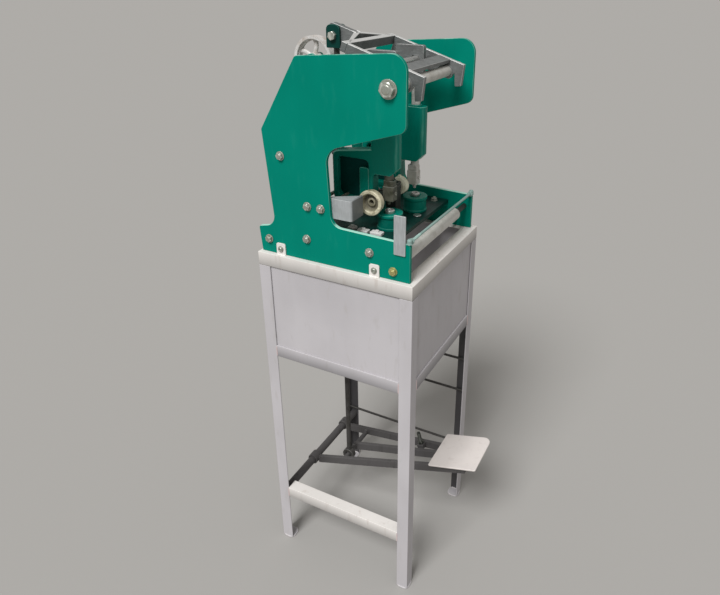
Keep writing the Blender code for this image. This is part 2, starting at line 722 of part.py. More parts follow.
def build_spring(machine):
    """Compression spring round the pull rod, one unbroken helix between the bed and the collar."""
    holder = datum("spring_seat", (0, ROD_Y, bed_top() + GAP), machine)
    steps = SPRING_TURNS * SPRING_POINTS_PER_TURN
    low = SPRING_WIRE_RADIUS
    high = SPRING_HEIGHT - SPRING_WIRE_RADIUS
    points = []
    for step in range(steps + 1):
        turn = math.tau * step / SPRING_POINTS_PER_TURN
        height = low + (high - low) * step / steps
        points.append(Vector((SPRING_RADIUS * math.cos(turn), SPRING_RADIUS * math.sin(turn), height)))
    curve = bpy.data.curves.new("return_spring", "CURVE")
    curve.dimensions = "3D"
    curve.bevel_depth = SPRING_WIRE_RADIUS
    curve.bevel_resolution = 1
    curve.use_fill_caps = True
    spline = curve.splines.new("POLY")
    spline.points.add(len(points) - 1)
    for target, point in zip(spline.points, points):
        target.co = (*point, 1)
    wire = bpy.data.objects.new("return_spring", curve)
    bpy.context.collection.objects.link(wire)
    colour, roughness, metallic = DARK_STEEL
    curve.materials.append(material("return_spring", colour, roughness, metallic))
    wire.parent = holder
    gap = least_self_gap(points, SPRING_WIRE_RADIUS, SPRING_POINTS_PER_TURN // 2)
    print("return_spring least gap to itself, mm:", round(gap * 1000, 2))


# Machine frame
def side_outline():
    """Outline of a side plate: foot, waist, sloping back, rounded nose, throat and lower jaw."""
    return rounded([
        (SIDE_FOOT_REAR, GAP, 0),
        (SIDE_HEEL_REAR, SIDE_HEEL_Z, SIDE_SMALL_CORNER),
        (SIDE_WAIST_Y, SIDE_WAIST_Z, SIDE_WAIST_CORNER),
        (SIDE_BACK_Y, SIDE_BACK_Z, SIDE_BACK_CORNER),
        (SIDE_CROWN_Y, SIDE_CROWN_Z, SIDE_BACK_CORNER),
        (SIDE_NOSE_Y, SIDE_NOSE_TOP, NOSE_CORNER),
        (SIDE_NOSE_Y, SIDE_NOSE_BOTTOM, CHIN_CORNER),
        (THROAT_BACK_Y, THROAT_TOP_Z, THROAT_TOP_CORNER),
        (THROAT_FLOOR_Y, THROAT_FLOOR_Z, THROAT_FLOOR_CORNER),
        (JAW_FRONT_Y, JAW_FRONT_Z, SIDE_SMALL_CORNER),
        (JAW_FRONT_Y, GAP, 0)])


TIE_RODS = (("tie_rod_back", BACK_TIE_Y, BACK_TIE_Z, ZINC),
            ("tie_rod_head_rear", HEAD_TIE_REAR_Y, HEAD_TIE_Z, ZINC),
            ("tie_rod_head_front", HEAD_TIE_FRONT_Y, HEAD_TIE_Z, ZINC),
            ("tie_rod_bed_rear", BED_TIE_REAR_Y, BED_TIE_Z, ZINC),
            ("tie_rod_bed_front", BED_TIE_FRONT_Y, BED_TIE_Z, ZINC),
            ("tie_rod_heel", HEEL_TIE_Y, HEEL_TIE_Z, ZINC),
            ("tie_rod_toe", TOE_TIE_Y, TOE_TIE_Z, YELLOW_ZINC))


def side_plate(way):
    """Side plate of the machine with its bolt holes."""
    outer = way * MACHINE_HALF_WIDTH
    inner = outer - way * SIDE_THICKNESS
    low = min(outer, inner)
    high = max(outer, inner)
    plate = extruded(side_outline(), "X", low, high)
    holes = []
    for _, y, z, _ in TIE_RODS:
        holes.append(round_bar("X", y, z, TIE_ROD_RADIUS + GAP, low - OVERRUN, high + OVERRUN,
                               SMALL_SIDES))
    holes.append(round_bar("X", PIVOT_Y, PIVOT_Z, PIVOT_BOLT_RADIUS + GAP, low - OVERRUN,
                           high + OVERRUN))
    return cut(plate, holes)


def through_bolt(y, z, shank, head, head_height, washer, washer_height, sides=SMALL_SIDES):
    """Bolt through both side plates, with a washer and a hexagon outside each."""
    face = MACHINE_HALF_WIDTH + GAP
    seat = face + washer_height
    end = seat + head_height
    solids = [round_bar("X", y, z, shank, -seat - WELD, seat + WELD, sides)]
    for way in (-1, 1):
        inner = way * face
        middle = way * seat
        outer = way * end
        solids.append(round_bar("X", y, z, washer, min(inner, middle), max(inner, middle)))
        overlap = way * (seat - WELD)
        solids.append(round_bar("X", y, z, head, min(overlap, outer), max(overlap, outer),
                                HEXAGON_SIDES))
    return joined(solids)


def build_frame(machine):
    """Side plates, the bolts that tie them, the bed and the fixed bars and brackets."""
    piece("side_plate_left", side_plate(-1), GREEN_PAINT, machine)
    piece("side_plate_right", side_plate(1), GREEN_PAINT, machine)
    for name, y, z, finish in TIE_RODS:
        bolt = through_bolt(y, z, TIE_ROD_RADIUS, TIE_HEAD_RADIUS, TIE_HEAD_HEIGHT,
                            TIE_WASHER_RADIUS, TIE_WASHER_HEIGHT)
        piece(name, bolt, finish, machine)
    pivot_bolt = through_bolt(PIVOT_Y, PIVOT_Z, PIVOT_BOLT_RADIUS, PIVOT_HEAD_RADIUS,
                              PIVOT_HEAD_HEIGHT, PIVOT_WASHER_RADIUS, PIVOT_WASHER_HEIGHT,
                              ROUND_SIDES)
    piece("pivot_bolt", pivot_bolt, ZINC, machine)

    inside = MACHINE_HALF_WIDTH - SIDE_THICKNESS - GAP
    bed = block(-inside, inside, BED_FRONT, BED_REAR, bed_top() - BED_THICKNESS, bed_top())
    rod_hole = round_bar("Z", 0, ROD_Y, ROD_HOLE_RADIUS, bed_top() - BED_THICKNESS - OVERRUN,
                         bed_top() + OVERRUN)
    piece("bed_plate", cut(bed, [rod_hole]), DARK_STEEL, machine)

    bar = round_bar("X", FRONT_BAR_Y, FRONT_BAR_Z, FRONT_BAR_RADIUS, -inside, inside)
    piece("front_tie_bar", bar, BARE_STEEL, machine)
    build_gauge_rod(machine, inside)

    outer = -MACHINE_HALF_WIDTH - GAP
    stop = block(outer - STOP_BRACKET_THICKNESS, outer, STOP_BRACKET_REAR - STOP_BRACKET_WIDTH,
                 STOP_BRACKET_REAR, STOP_BRACKET_BOTTOM, STOP_BRACKET_TOP)
    piece("stop_bracket", stop, BARE_STEEL, machine)
    piece("throat_bracket", throat_bracket(inside), BARE_STEEL, machine)


def throat_bracket(inside):
    """Angle bracket on the front head tie rod, with a leg along the left plate and one to the drum."""
    end = FEED_DRUM_LEFT - THROAT_BRACKET_DRUM_PLAY
    outline = [(-inside, THROAT_BRACKET_FRONT), (end, THROAT_BRACKET_FRONT),
               (end, THROAT_BRACKET_FRONT + THROAT_BRACKET_THICKNESS),
               (-inside + THROAT_BRACKET_THICKNESS, THROAT_BRACKET_FRONT + THROAT_BRACKET_THICKNESS),
               (-inside + THROAT_BRACKET_THICKNESS, THROAT_BRACKET_REAR), (-inside, THROAT_BRACKET_REAR)]
    bracket = extruded(outline, "Z", THROAT_BRACKET_BOTTOM, THROAT_BRACKET_TOP)
    hole = round_bar("X", HEAD_TIE_FRONT_Y, HEAD_TIE_Z, TIE_ROD_RADIUS + GAP, -inside - OVERRUN,
                     -inside + THROAT_BRACKET_THICKNESS + OVERRUN, SMALL_SIDES)
    return cut(bracket, [hole])


def build_gauge_rod(machine, inside):
    """Thin work-gauge rod between the jaws' front corners, with its nut and knob."""
    rod = round_bar("X", GAUGE_ROD_Y, GAUGE_ROD_Z, GAUGE_ROD_RADIUS, -inside, inside, SMALL_SIDES)
    nut = round_bar("X", GAUGE_ROD_Y, GAUGE_ROD_Z, GAUGE_NUT_RADIUS, -inside,
                    -inside + GAUGE_NUT_LENGTH, HEXAGON_SIDES)
    knob_low = -inside + GAUGE_KNOB_INSET
    knob = round_bar("X", GAUGE_ROD_Y, GAUGE_ROD_Z, GAUGE_KNOB_RADIUS, knob_low,
                     knob_low + GAUGE_KNOB_LENGTH, SMALL_SIDES)
    piece("gauge_rod", joined([rod, nut, knob]), BARE_STEEL, machine)


# Top lever, in the frame of its pivot bolt: y runs back along the lever, z is square to it
def lever_place(y, z):
    """Place in the lever's own frame of a point given by the machine's y and z."""
    back = y - PIVOT_Y
    up = z - PIVOT_Z
    return (back * math.cos(LEVER_SLOPE) + up * math.sin(LEVER_SLOPE),
            -back * math.sin(LEVER_SLOPE) + up * math.cos(LEVER_SLOPE))


def lever_arm(way):
    """Flat arm with its short front leg, bored for the pivot sleeve and the ram pin."""
    middle = way * ARM_X
    low = middle - ARM_WIDTH / 2
    high = middle + ARM_WIDTH / 2
    outline = [(ARM_FRONT, ARM_TOP), (ARM_REAR, ARM_TOP), (ARM_REAR, ARM_BOTTOM),
               (ARM_LEG_REAR, ARM_BOTTOM), (ARM_LEG_FOOT_REAR, ARM_LEG_FOOT_REAR_Z),
               (ARM_LEG_FOOT_FRONT, ARM_LEG_FOOT_FRONT_Z)]
    arm = extruded(outline, "X", low, high)
    pin_y, pin_z = lever_place(RAM_Y, RAM_PIN_Z)
    cutters = [round_bar("X", 0, 0, PIVOT_SLEEVE_RADIUS + GAP, low - OVERRUN, high + OVERRUN),
               round_bar("X", pin_y, pin_z, RAM_PIN_RADIUS + GAP, low - OVERRUN, high + OVERRUN)]
    return cut(arm, cutters)


def build_lever(machine):
    """Top lever: two arms, the bars that join them, the yoke to the tail and the ram pin."""
    pivot = datum("lever_pivot", (0, PIVOT_Y, PIVOT_Z), machine, LEVER_SLOPE)
    piece("lever_arm_left", lever_arm(-1), BARE_STEEL, pivot)
    piece("lever_arm_right", lever_arm(1), BARE_STEEL, pivot)
    sleeve_end = MACHINE_HALF_WIDTH - SIDE_THICKNESS - GAP
    sleeve = round_bar("X", 0, 0, PIVOT_SLEEVE_RADIUS, -sleeve_end, sleeve_end)
    bore = round_bar("X", 0, 0, PIVOT_BOLT_RADIUS + GAP, -sleeve_end - OVERRUN, sleeve_end + OVERRUN)
    piece("pivot_sleeve", cut(sleeve, [bore]), BARE_STEEL, pivot)
    inside = ARM_X - ARM_WIDTH / 2 - GAP
    cross = block(-inside, inside, 0, CROSS_BAR_LENGTH, ARM_TOP - CROSS_BAR_HEIGHT, ARM_TOP)
    piece("lever_cross_bar", cross, BARE_STEEL, pivot)

    pin_y, pin_z = lever_place(RAM_Y, RAM_PIN_Z)
    pin_end = ARM_X + ARM_WIDTH / 2
    pin = round_bar("X", pin_y, pin_z, RAM_PIN_RADIUS, -pin_end, pin_end)
    piece("ram_pin", pin, BRIGHT_STEEL, pivot)

    low = ARM_TOP - YOKE_BAR_HEIGHT
    outer = ARM_X + ARM_WIDTH / 2
    rear = ARM_REAR + GAP
    solids = [block(-outer, outer, rear, rear + YOKE_BAR_WIDTH, low, ARM_TOP)]
    for way in (-1, 1):
        foot = way * (outer - YOKE_BAR_WIDTH)
        plan = [(way * outer, rear + WELD), (foot, rear + WELD),
                (-way * WELD, YOKE_APEX - YOKE_BAR_WIDTH), (-way * WELD, YOKE_APEX)]
        solids.append(extruded(plan, "Z", low, ARM_TOP))
    tail = block(-TAIL_HALF_WIDTH, TAIL_HALF_WIDTH, YOKE_APEX - YOKE_BAR_WIDTH, TAIL_END,
                 ARM_TOP - TAIL_HEIGHT, ARM_TOP)
    yoke = joined(solids + [tail])
    tail_y, tail_z = lever_place(ROD_Y, TAIL_PIN_Z)
    hole = round_bar("X", tail_y, tail_z, CLEVIS_PIN_RADIUS + GAP, -TAIL_HALF_WIDTH - OVERRUN,
                     TAIL_HALF_WIDTH + OVERRUN, SMALL_SIDES)
    piece("lever_yoke", cut(yoke, [hole]), BARE_STEEL, pivot)


# Rams, in the machine's frame about their own upright axis
def build_ram(machine, name, x):
    """Ram: slotted head plate, round shank and stepped punch holder with its punch."""
    axis = datum(f"{name}_axis", (x, RAM_Y, 0), machine)
    half = RAM_PLATE_WIDTH / 2
    outline = rounded([(-RAM_PLATE_FRONT, RAM_PLATE_BOTTOM, RAM_PLATE_CORNER),
                       (RAM_PLATE_REAR, RAM_PLATE_BOTTOM, RAM_PLATE_CORNER),
                       (RAM_PLATE_REAR, RAM_PLATE_TOP, RAM_PLATE_CORNER),
                       (-RAM_PLATE_FRONT, RAM_PLATE_TOP, RAM_PLATE_CORNER)])
    plate = extruded(outline, "X", -half, half)
    slot_radius = RAM_PIN_RADIUS + GAP
    slot = joined([round_bar("X", 0, RAM_PIN_Z, slot_radius, -half - OVERRUN, half + OVERRUN),
                   block(-half - OVERRUN, half + OVERRUN, 0, RAM_SLOT_PLAY,
                         RAM_PIN_Z - slot_radius * math.cos(math.pi / ROUND_SIDES),
                         RAM_PIN_Z + slot_radius * math.cos(math.pi / ROUND_SIDES)),
                   round_bar("X", RAM_SLOT_PLAY, RAM_PIN_Z, slot_radius, -half - OVERRUN,
                             half + OVERRUN)])
    plate = cut(plate, [slot])
    shank = round_bar("Z", 0, 0, RAM_RADIUS, HOLDER_TOP - WELD, RAM_PLATE_BOTTOM + WELD)
    upper = block(-HOLDER_STEP_WIDTH, HOLDER_STEP_WIDTH, -HOLDER_FRONT, HOLDER_REAR,
                  HOLDER_STEP - WELD, HOLDER_TOP)
    lower = block(-HOLDER_HALF_WIDTH, HOLDER_HALF_WIDTH, -HOLDER_FRONT, HOLDER_REAR,
                  HOLDER_BOTTOM, HOLDER_STEP)
    punch = round_bar("Z", 0, 0, PUNCH_RADIUS, PUNCH_TIP_Z, HOLDER_BOTTOM + WELD, SMALL_SIDES)
    piece(name, joined([plate, shank, upper, lower, punch]), BARE_STEEL, axis)


# Eyelet heads
def build_head(machine, name, x):
    """Casting that guides one ram, hung on two tie rods, with a window through it."""
    outline = rounded([
        (HEAD_REAR, HEAD_BOTTOM, HEAD_CORNER), (HEAD_REAR, HEAD_TOP, HEAD_CORNER),
        (HEAD_SHOULDER_Y, HEAD_TOP, HEAD_SMALL_CORNER), (HEAD_SHOULDER_Y, GUIDE_TOP, 0),
        (GUIDE_FRONT, GUIDE_TOP, 0), (GUIDE_FRONT, GUIDE_CHAMFER_Z, 0),
        (GUIDE_CHAMFER_Y, GUIDE_BOTTOM, 0), (HEAD_FRONT_WALL, GUIDE_BOTTOM, HEAD_SMALL_CORNER),
        (HEAD_FRONT_WALL, HEAD_BOTTOM, HEAD_SMALL_CORNER)])
    low = x - HEAD_HALF_WIDTH
    high = x + HEAD_HALF_WIDTH
    casting = extruded(outline, "X", low, high)
    window = rounded([(WINDOW_FRONT, WINDOW_BOTTOM, WINDOW_CORNER),
                      (WINDOW_REAR, WINDOW_BOTTOM, WINDOW_CORNER),
                      (WINDOW_REAR, WINDOW_TOP, WINDOW_CORNER),
                      (WINDOW_FRONT, WINDOW_TOP, WINDOW_CORNER)])
    cutters = [extruded(window, "X", low - OVERRUN, high + OVERRUN),
               round_bar("Z", x, RAM_Y, RAM_RADIUS + GAP, GUIDE_BOTTOM - OVERRUN,
                         GUIDE_TOP + OVERRUN)]
    for tie_y in (HEAD_TIE_REAR_Y, HEAD_TIE_FRONT_Y):
        cutters.append(round_bar("X", tie_y, HEAD_TIE_Z, TIE_ROD_RADIUS + GAP, low - OVERRUN,
                                 high + OVERRUN, SMALL_SIDES))
    piece(name, cut(casting, cutters), GREEN_PAINT, machine)


# Dies
def build_die(machine, side, x):
    """Die cup bolted to the bed, and the hardened die seated in it."""
    seat = bed_top() + GAP
    cup = joined([round_bar("Z", x, DIE_Y, DIE_CUP_BASE_RADIUS, seat, seat + DIE_CUP_BASE_HEIGHT),
                  round_bar("Z", x, DIE_Y, DIE_CUP_RADIUS, seat + DIE_CUP_BASE_HEIGHT - WELD,
                            DIE_CUP_TOP)])
    socket = round_bar("Z", x, DIE_Y, DIE_SPIGOT_RADIUS + GAP,
                       DIE_CUP_TOP - DIE_SPIGOT_DEPTH - GAP, DIE_CUP_TOP + OVERRUN)
    piece(f"die_cup_{side}", cut(cup, [socket]), GREEN_PAINT, machine)
    die = joined([round_bar("Z", x, DIE_Y, DIE_SPIGOT_RADIUS, DIE_CUP_TOP - DIE_SPIGOT_DEPTH,
                            DIE_CUP_TOP + GAP + WELD),
                  round_bar("Z", x, DIE_Y, DIE_RADIUS, DIE_CUP_TOP + GAP, DIE_TOP)])
    mouth = round_bar("Z", x, DIE_Y, DIE_BORE_RADIUS, DIE_TOP - DIE_BORE_DEPTH, DIE_TOP + OVERRUN,
                      SMALL_SIDES)
    piece(f"die_{side}", cut(die, [mouth]), BRIGHT_STEEL, machine)


# Feed shaft, in the frame of its own axis
def build_feed(machine):
    """Feed shaft with its open drum and collar, turning in a bearing block on the bed."""
    axis = datum("feed_axis", (0, FEED_Y, FEED_Z), machine)
    drum_right = FEED_DRUM_LEFT + FEED_DRUM_LENGTH
    shaft = round_bar("X", 0, 0, FEED_SHAFT_RADIUS, drum_right - FEED_DRUM_LIP - GAP,
                      FEED_SHAFT_END, SMALL_SIDES)
    collar = round_bar("X", 0, 0, FEED_COLLAR_RADIUS, FEED_COLLAR_LEFT,
                       FEED_COLLAR_LEFT + FEED_COLLAR_LENGTH)
    hub_end = -FEED_BEARING_HALF_WIDTH - GAP
    hub = round_bar("X", 0, 0, FEED_HUB_RADIUS, drum_right + GAP, hub_end)
    piece("feed_shaft", joined([shaft, collar, hub]), BARE_STEEL, axis)

    drum = round_bar("X", 0, 0, FEED_DRUM_RADIUS, FEED_DRUM_LEFT, drum_right)
    cavity = round_bar("X", 0, 0, FEED_DRUM_CAVITY, FEED_DRUM_LEFT - OVERRUN,
                       FEED_DRUM_LEFT + FEED_DRUM_CAVITY_DEPTH)
    bore = round_bar("X", 0, 0, FEED_SHAFT_RADIUS + GAP,
                     FEED_DRUM_LEFT + FEED_DRUM_CAVITY_DEPTH - OVERRUN, drum_right + OVERRUN,
                     SMALL_SIDES)
    piece("feed_drum", cut(drum, [cavity, bore]), CREAM_CASTING, axis)

    half = FEED_BEARING_HALF_WIDTH
    seat = bed_top() + GAP
    post = block(-half, half, FEED_Y - FEED_BEARING_HALF_DEPTH, FEED_Y + FEED_BEARING_HALF_DEPTH,
                 seat, FEED_Z + FEED_BEARING_RISE)
    screw_top = FEED_Z + FEED_BEARING_RISE + FEED_SCREW_HEIGHT
    screw = round_bar("Z", 0, FEED_Y, FEED_SCREW_RADIUS, FEED_Z + FEED_BEARING_RISE - WELD,
                      screw_top, SMALL_SIDES)
    running = round_bar("X", FEED_Y, FEED_Z, FEED_SHAFT_RADIUS + GAP, -half - OVERRUN,
                        half + OVERRUN, SMALL_SIDES)
    piece("feed_bearing", cut(joined([post, screw]), [running]), DARK_STEEL, machine)


# Rear wheel
def build_wheel(machine):
    """Spoked idler wheel with its pin, and the fork clamped on the back tie rod."""
    axis = datum("wheel_axis", (WHEEL_X, WHEEL_Y, WHEEL_Z), machine)
    rim = round_bar("X", 0, 0, WHEEL_RADIUS, -WHEEL_HALF_WIDTH, WHEEL_HALF_WIDTH)
    hollow = round_bar("X", 0, 0, WHEEL_RADIUS - WHEEL_RIM, -WHEEL_HALF_WIDTH - OVERRUN,
                       WHEEL_HALF_WIDTH + OVERRUN)
    solids = [cut(rim, [hollow])]
    solids.append(round_bar("X", 0, 0, WHEEL_HUB_RADIUS, -WHEEL_HALF_WIDTH, WHEEL_HALF_WIDTH))
    reach = WHEEL_RADIUS - WHEEL_RIM / 2
    half = WHEEL_SPOKE_WIDTH / 2
    for spoke in range(WHEEL_SPOKES):
        angle = math.tau * spoke / WHEEL_SPOKES + math.pi / 2
        along = Vector((math.cos(angle), math.sin(angle)))
        across = Vector((-along.y, along.x)) * half
        ends = [across, -across, along * reach - across, along * reach + across]
        solids.append(extruded([tuple(end) for end in ends], "X", -WHEEL_SPOKE_HALF_THICKNESS,
                               WHEEL_SPOKE_HALF_THICKNESS))
    fork_inside = WHEEL_HALF_WIDTH + FORK_SIDE_PLAY
    pin_seat = fork_inside + FORK_WALL + GAP
    solids.append(round_bar("X", 0, 0, WHEEL_PIN_RADIUS, -pin_seat - WELD, pin_seat + WELD,
                            SMALL_SIDES))
    for way in (-1, 1):
        near = way * pin_seat
        far = way * (pin_seat + WHEEL_PIN_HEAD_HEIGHT)
        solids.append(round_bar("X", 0, 0, WHEEL_PIN_HEAD_RADIUS, min(near, far), max(near, far),
                                HEXAGON_SIDES))
    piece("rear_wheel", joined(solids), BARE_STEEL, axis)

    outer = fork_inside + FORK_WALL
    up = Vector((WHEEL_Y - BACK_TIE_Y, WHEEL_Z - BACK_TIE_Z))
    length = up.length
    up.normalize()
    across = Vector((up.y, -up.x))
    foot = Vector((BACK_TIE_Y, BACK_TIE_Z))
    corners = []
    for sideways, along, radius in ((-FORK_FOOT_WIDTH / 2, -FORK_FOOT_DROP, FORK_CORNER),
                                    (FORK_FOOT_WIDTH / 2, -FORK_FOOT_DROP, FORK_CORNER),
                                    (FORK_TOP_WIDTH / 2, length + FORK_TOP_WIDTH / 2, FORK_CORNER),
                                    (-FORK_TOP_WIDTH / 2, length + FORK_TOP_WIDTH / 2, FORK_CORNER)):
        place = foot + across * sideways + up * along
        corners.append((place.x, place.y, radius))
    fork = extruded(rounded(corners), "X", WHEEL_X - outer, WHEEL_X + outer)
    mouth_low = foot + up * (length - FORK_CROTCH_DEPTH)
    mouth_high = foot + up * (length + FORK_TOP_WIDTH)
    wide = across * FORK_FOOT_WIDTH
    mouth = [tuple(mouth_low - wide), tuple(mouth_low + wide), tuple(mouth_high + wide),
             tuple(mouth_high - wide)]
    low = WHEEL_X - outer - OVERRUN
    high = WHEEL_X + outer + OVERRUN
    cutters = [extruded(mouth, "X", WHEEL_X - fork_inside, WHEEL_X + fork_inside),
               round_bar("X", BACK_TIE_Y, BACK_TIE_Z, TIE_ROD_RADIUS + GAP, low, high, SMALL_SIDES),
               round_bar("X", WHEEL_Y, WHEEL_Z, WHEEL_PIN_RADIUS + GAP, low, high, SMALL_SIDES)]
    piece("wheel_fork", cut(fork, cutters), GREEN_PAINT, machine)


def centre_on_origin(root):
    """Move the root empty until the whole machine stands centred over the origin."""
    corners = []
    for thing in bpy.context.scene.objects:
        if thing.type == "MESH":
            corners += [thing.matrix_world @ vertex.co for vertex in thing.data.vertices]
    middle = [(min(c[axis] for c in corners) + max(c[axis] for c in corners)) / 2 for axis in (0, 1)]
    root.location = (-middle[0], -middle[1], -min(c.z for c in corners))
    bpy.context.view_layer.update()
    print("stand centre, mm:", [round(1000 * value, 3) for value in root.location])


def main():
    """Clear the scene and build the whole machine."""
    for thing in list(bpy.data.objects):
        bpy.data.objects.remove(thing)
    root = datum("floor_centre", (0, 0, 0))
    machine = datum("machine_datum", (0, 0, STAND_HEIGHT), root)
    build_stand(root)
    build_pedal(root)
    build_frame(machine)
    build_lever(machine)
    for side, way in (("left", -1), ("right", 1)):
        build_head(machine, f"eyelet_head_{side}", way * HEAD_X)
        build_ram(machine, f"ram_{side}", way * HEAD_X)
        build_die(machine, side, way * HEAD_X)
    build_feed(machine)
    build_pull_rod(machine)
    build_spring(machine)
    build_wheel(machine)
    bpy.context.view_layer.update()
    centre_on_origin(root)


main()
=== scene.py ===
"""Dressed model of a foot-pressed twin eyelet machine on its angle-iron stand.

Lengths are in metres.  X runs to the worker's right, -Y is the front and +Z is up.  Every piece is a
surface worked out with numpy on a grid of rings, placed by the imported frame.
"""
import logging
import math
from dataclasses import dataclass, replace
from enum import Enum
from typing import Any, Sequence

import bmesh
import bpy
import numpy as np
from mathutils import Matrix, Vector


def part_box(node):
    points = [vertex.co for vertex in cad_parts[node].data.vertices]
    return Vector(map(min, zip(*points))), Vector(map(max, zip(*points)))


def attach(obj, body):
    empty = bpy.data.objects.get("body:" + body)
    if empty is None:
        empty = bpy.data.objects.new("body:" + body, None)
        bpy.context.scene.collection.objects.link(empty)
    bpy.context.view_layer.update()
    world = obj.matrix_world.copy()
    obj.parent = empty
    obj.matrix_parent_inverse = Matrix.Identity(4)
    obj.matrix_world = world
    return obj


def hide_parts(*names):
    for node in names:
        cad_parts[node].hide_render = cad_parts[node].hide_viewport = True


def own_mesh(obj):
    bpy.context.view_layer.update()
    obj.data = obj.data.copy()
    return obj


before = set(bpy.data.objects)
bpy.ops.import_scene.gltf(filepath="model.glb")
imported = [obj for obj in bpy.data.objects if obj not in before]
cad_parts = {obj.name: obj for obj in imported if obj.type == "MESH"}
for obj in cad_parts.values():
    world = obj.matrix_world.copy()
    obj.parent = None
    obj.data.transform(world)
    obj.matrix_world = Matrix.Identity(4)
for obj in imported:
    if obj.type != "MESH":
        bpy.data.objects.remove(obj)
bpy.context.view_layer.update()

Array = np.ndarray
Pair = tuple[float, float]
Triple = tuple[float, float, float]
Corner = tuple[float, float, float]

log = logging.getLogger("eyelet_machine")

SEED = 11
SHARP_ANGLE = math.radians(38)
# Rounding of an edge, gap between fitted pieces, least step of an outline, share of colour in painted
# shade.
EDGE = 0.0008
GAP = 0.0003
SAME_POINT = 1e-6
# share of the main colour that is left where the painted shade is full
PAINTED_SHADE_TONE = 0.16
HEXAGON = 6


def srgb(red: int, green: int, blue: int) -> Triple:
    """Linear colour of a screen colour.

    Args:
        red: Red from 0 to 255.
        green: Green from 0 to 255.
        blue: Blue from 0 to 255.

    Returns:
        The same colour as linear shares.
    """
    shares = np.array([red, green, blue]) / 255
    linear = np.where(shares <= 0.04045, shares / 12.92, ((shares + 0.055) / 1.055) ** 2.4)
    return tuple(float(value) for value in linear)


class Slot(Enum):
    """Material slots of the record."""

    GREEN_PAINT = "green_paint"
    GREY_PAINT = "grey_paint"
    PALE_PAINT = "pale_paint"
    BARE_STEEL = "bare_steel"
    BRIGHT_STEEL = "bright_steel"
    DARK_STEEL = "dark_steel"
    CREAM_CASTING = "cream_casting"
    ZINC = "zinc"
    YELLOW_ZINC = "yellow_zinc"


class Body(Enum):
    """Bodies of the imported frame."""

    MACHINE = "machine"
    PEDAL = "pedal"
    TOP_LEVER = "top_lever"
    PULL_ROD = "pull_rod"
    RAM_LEFT = "ram_left"
    RAM_RIGHT = "ram_right"
    FEED = "feed"
    REAR_WHEEL = "rear_wheel"


# Shader building
class Wire:
    """One shader socket that reads like a number in an expression."""

    def __init__(self, graph: "Graph", socket: bpy.types.NodeSocket) -> None:
        """Wrap a socket of a graph."""
        self.graph = graph
        self.socket = socket

    def _math(self, operation: str, first: Any, second: Any) -> "Wire":
        """Wire out of a Math node over two values."""
        node = self.graph.node("ShaderNodeMath", {"operation": operation}, {0: first, 1: second})
        return Wire(self.graph, node.outputs[0])

    def __add__(self, other: Any) -> "Wire":
        """Sum."""
        return self._math("ADD", self, other)

    def __radd__(self, other: Any) -> "Wire":
        """Reflected sum."""
        return self._math("ADD", other, self)

    def __mul__(self, other: Any) -> "Wire":
        """Product."""
        return self._math("MULTIPLY", self, other)

    def __rmul__(self, other: Any) -> "Wire":
        """Reflected product."""
        return self._math("MULTIPLY", other, self)


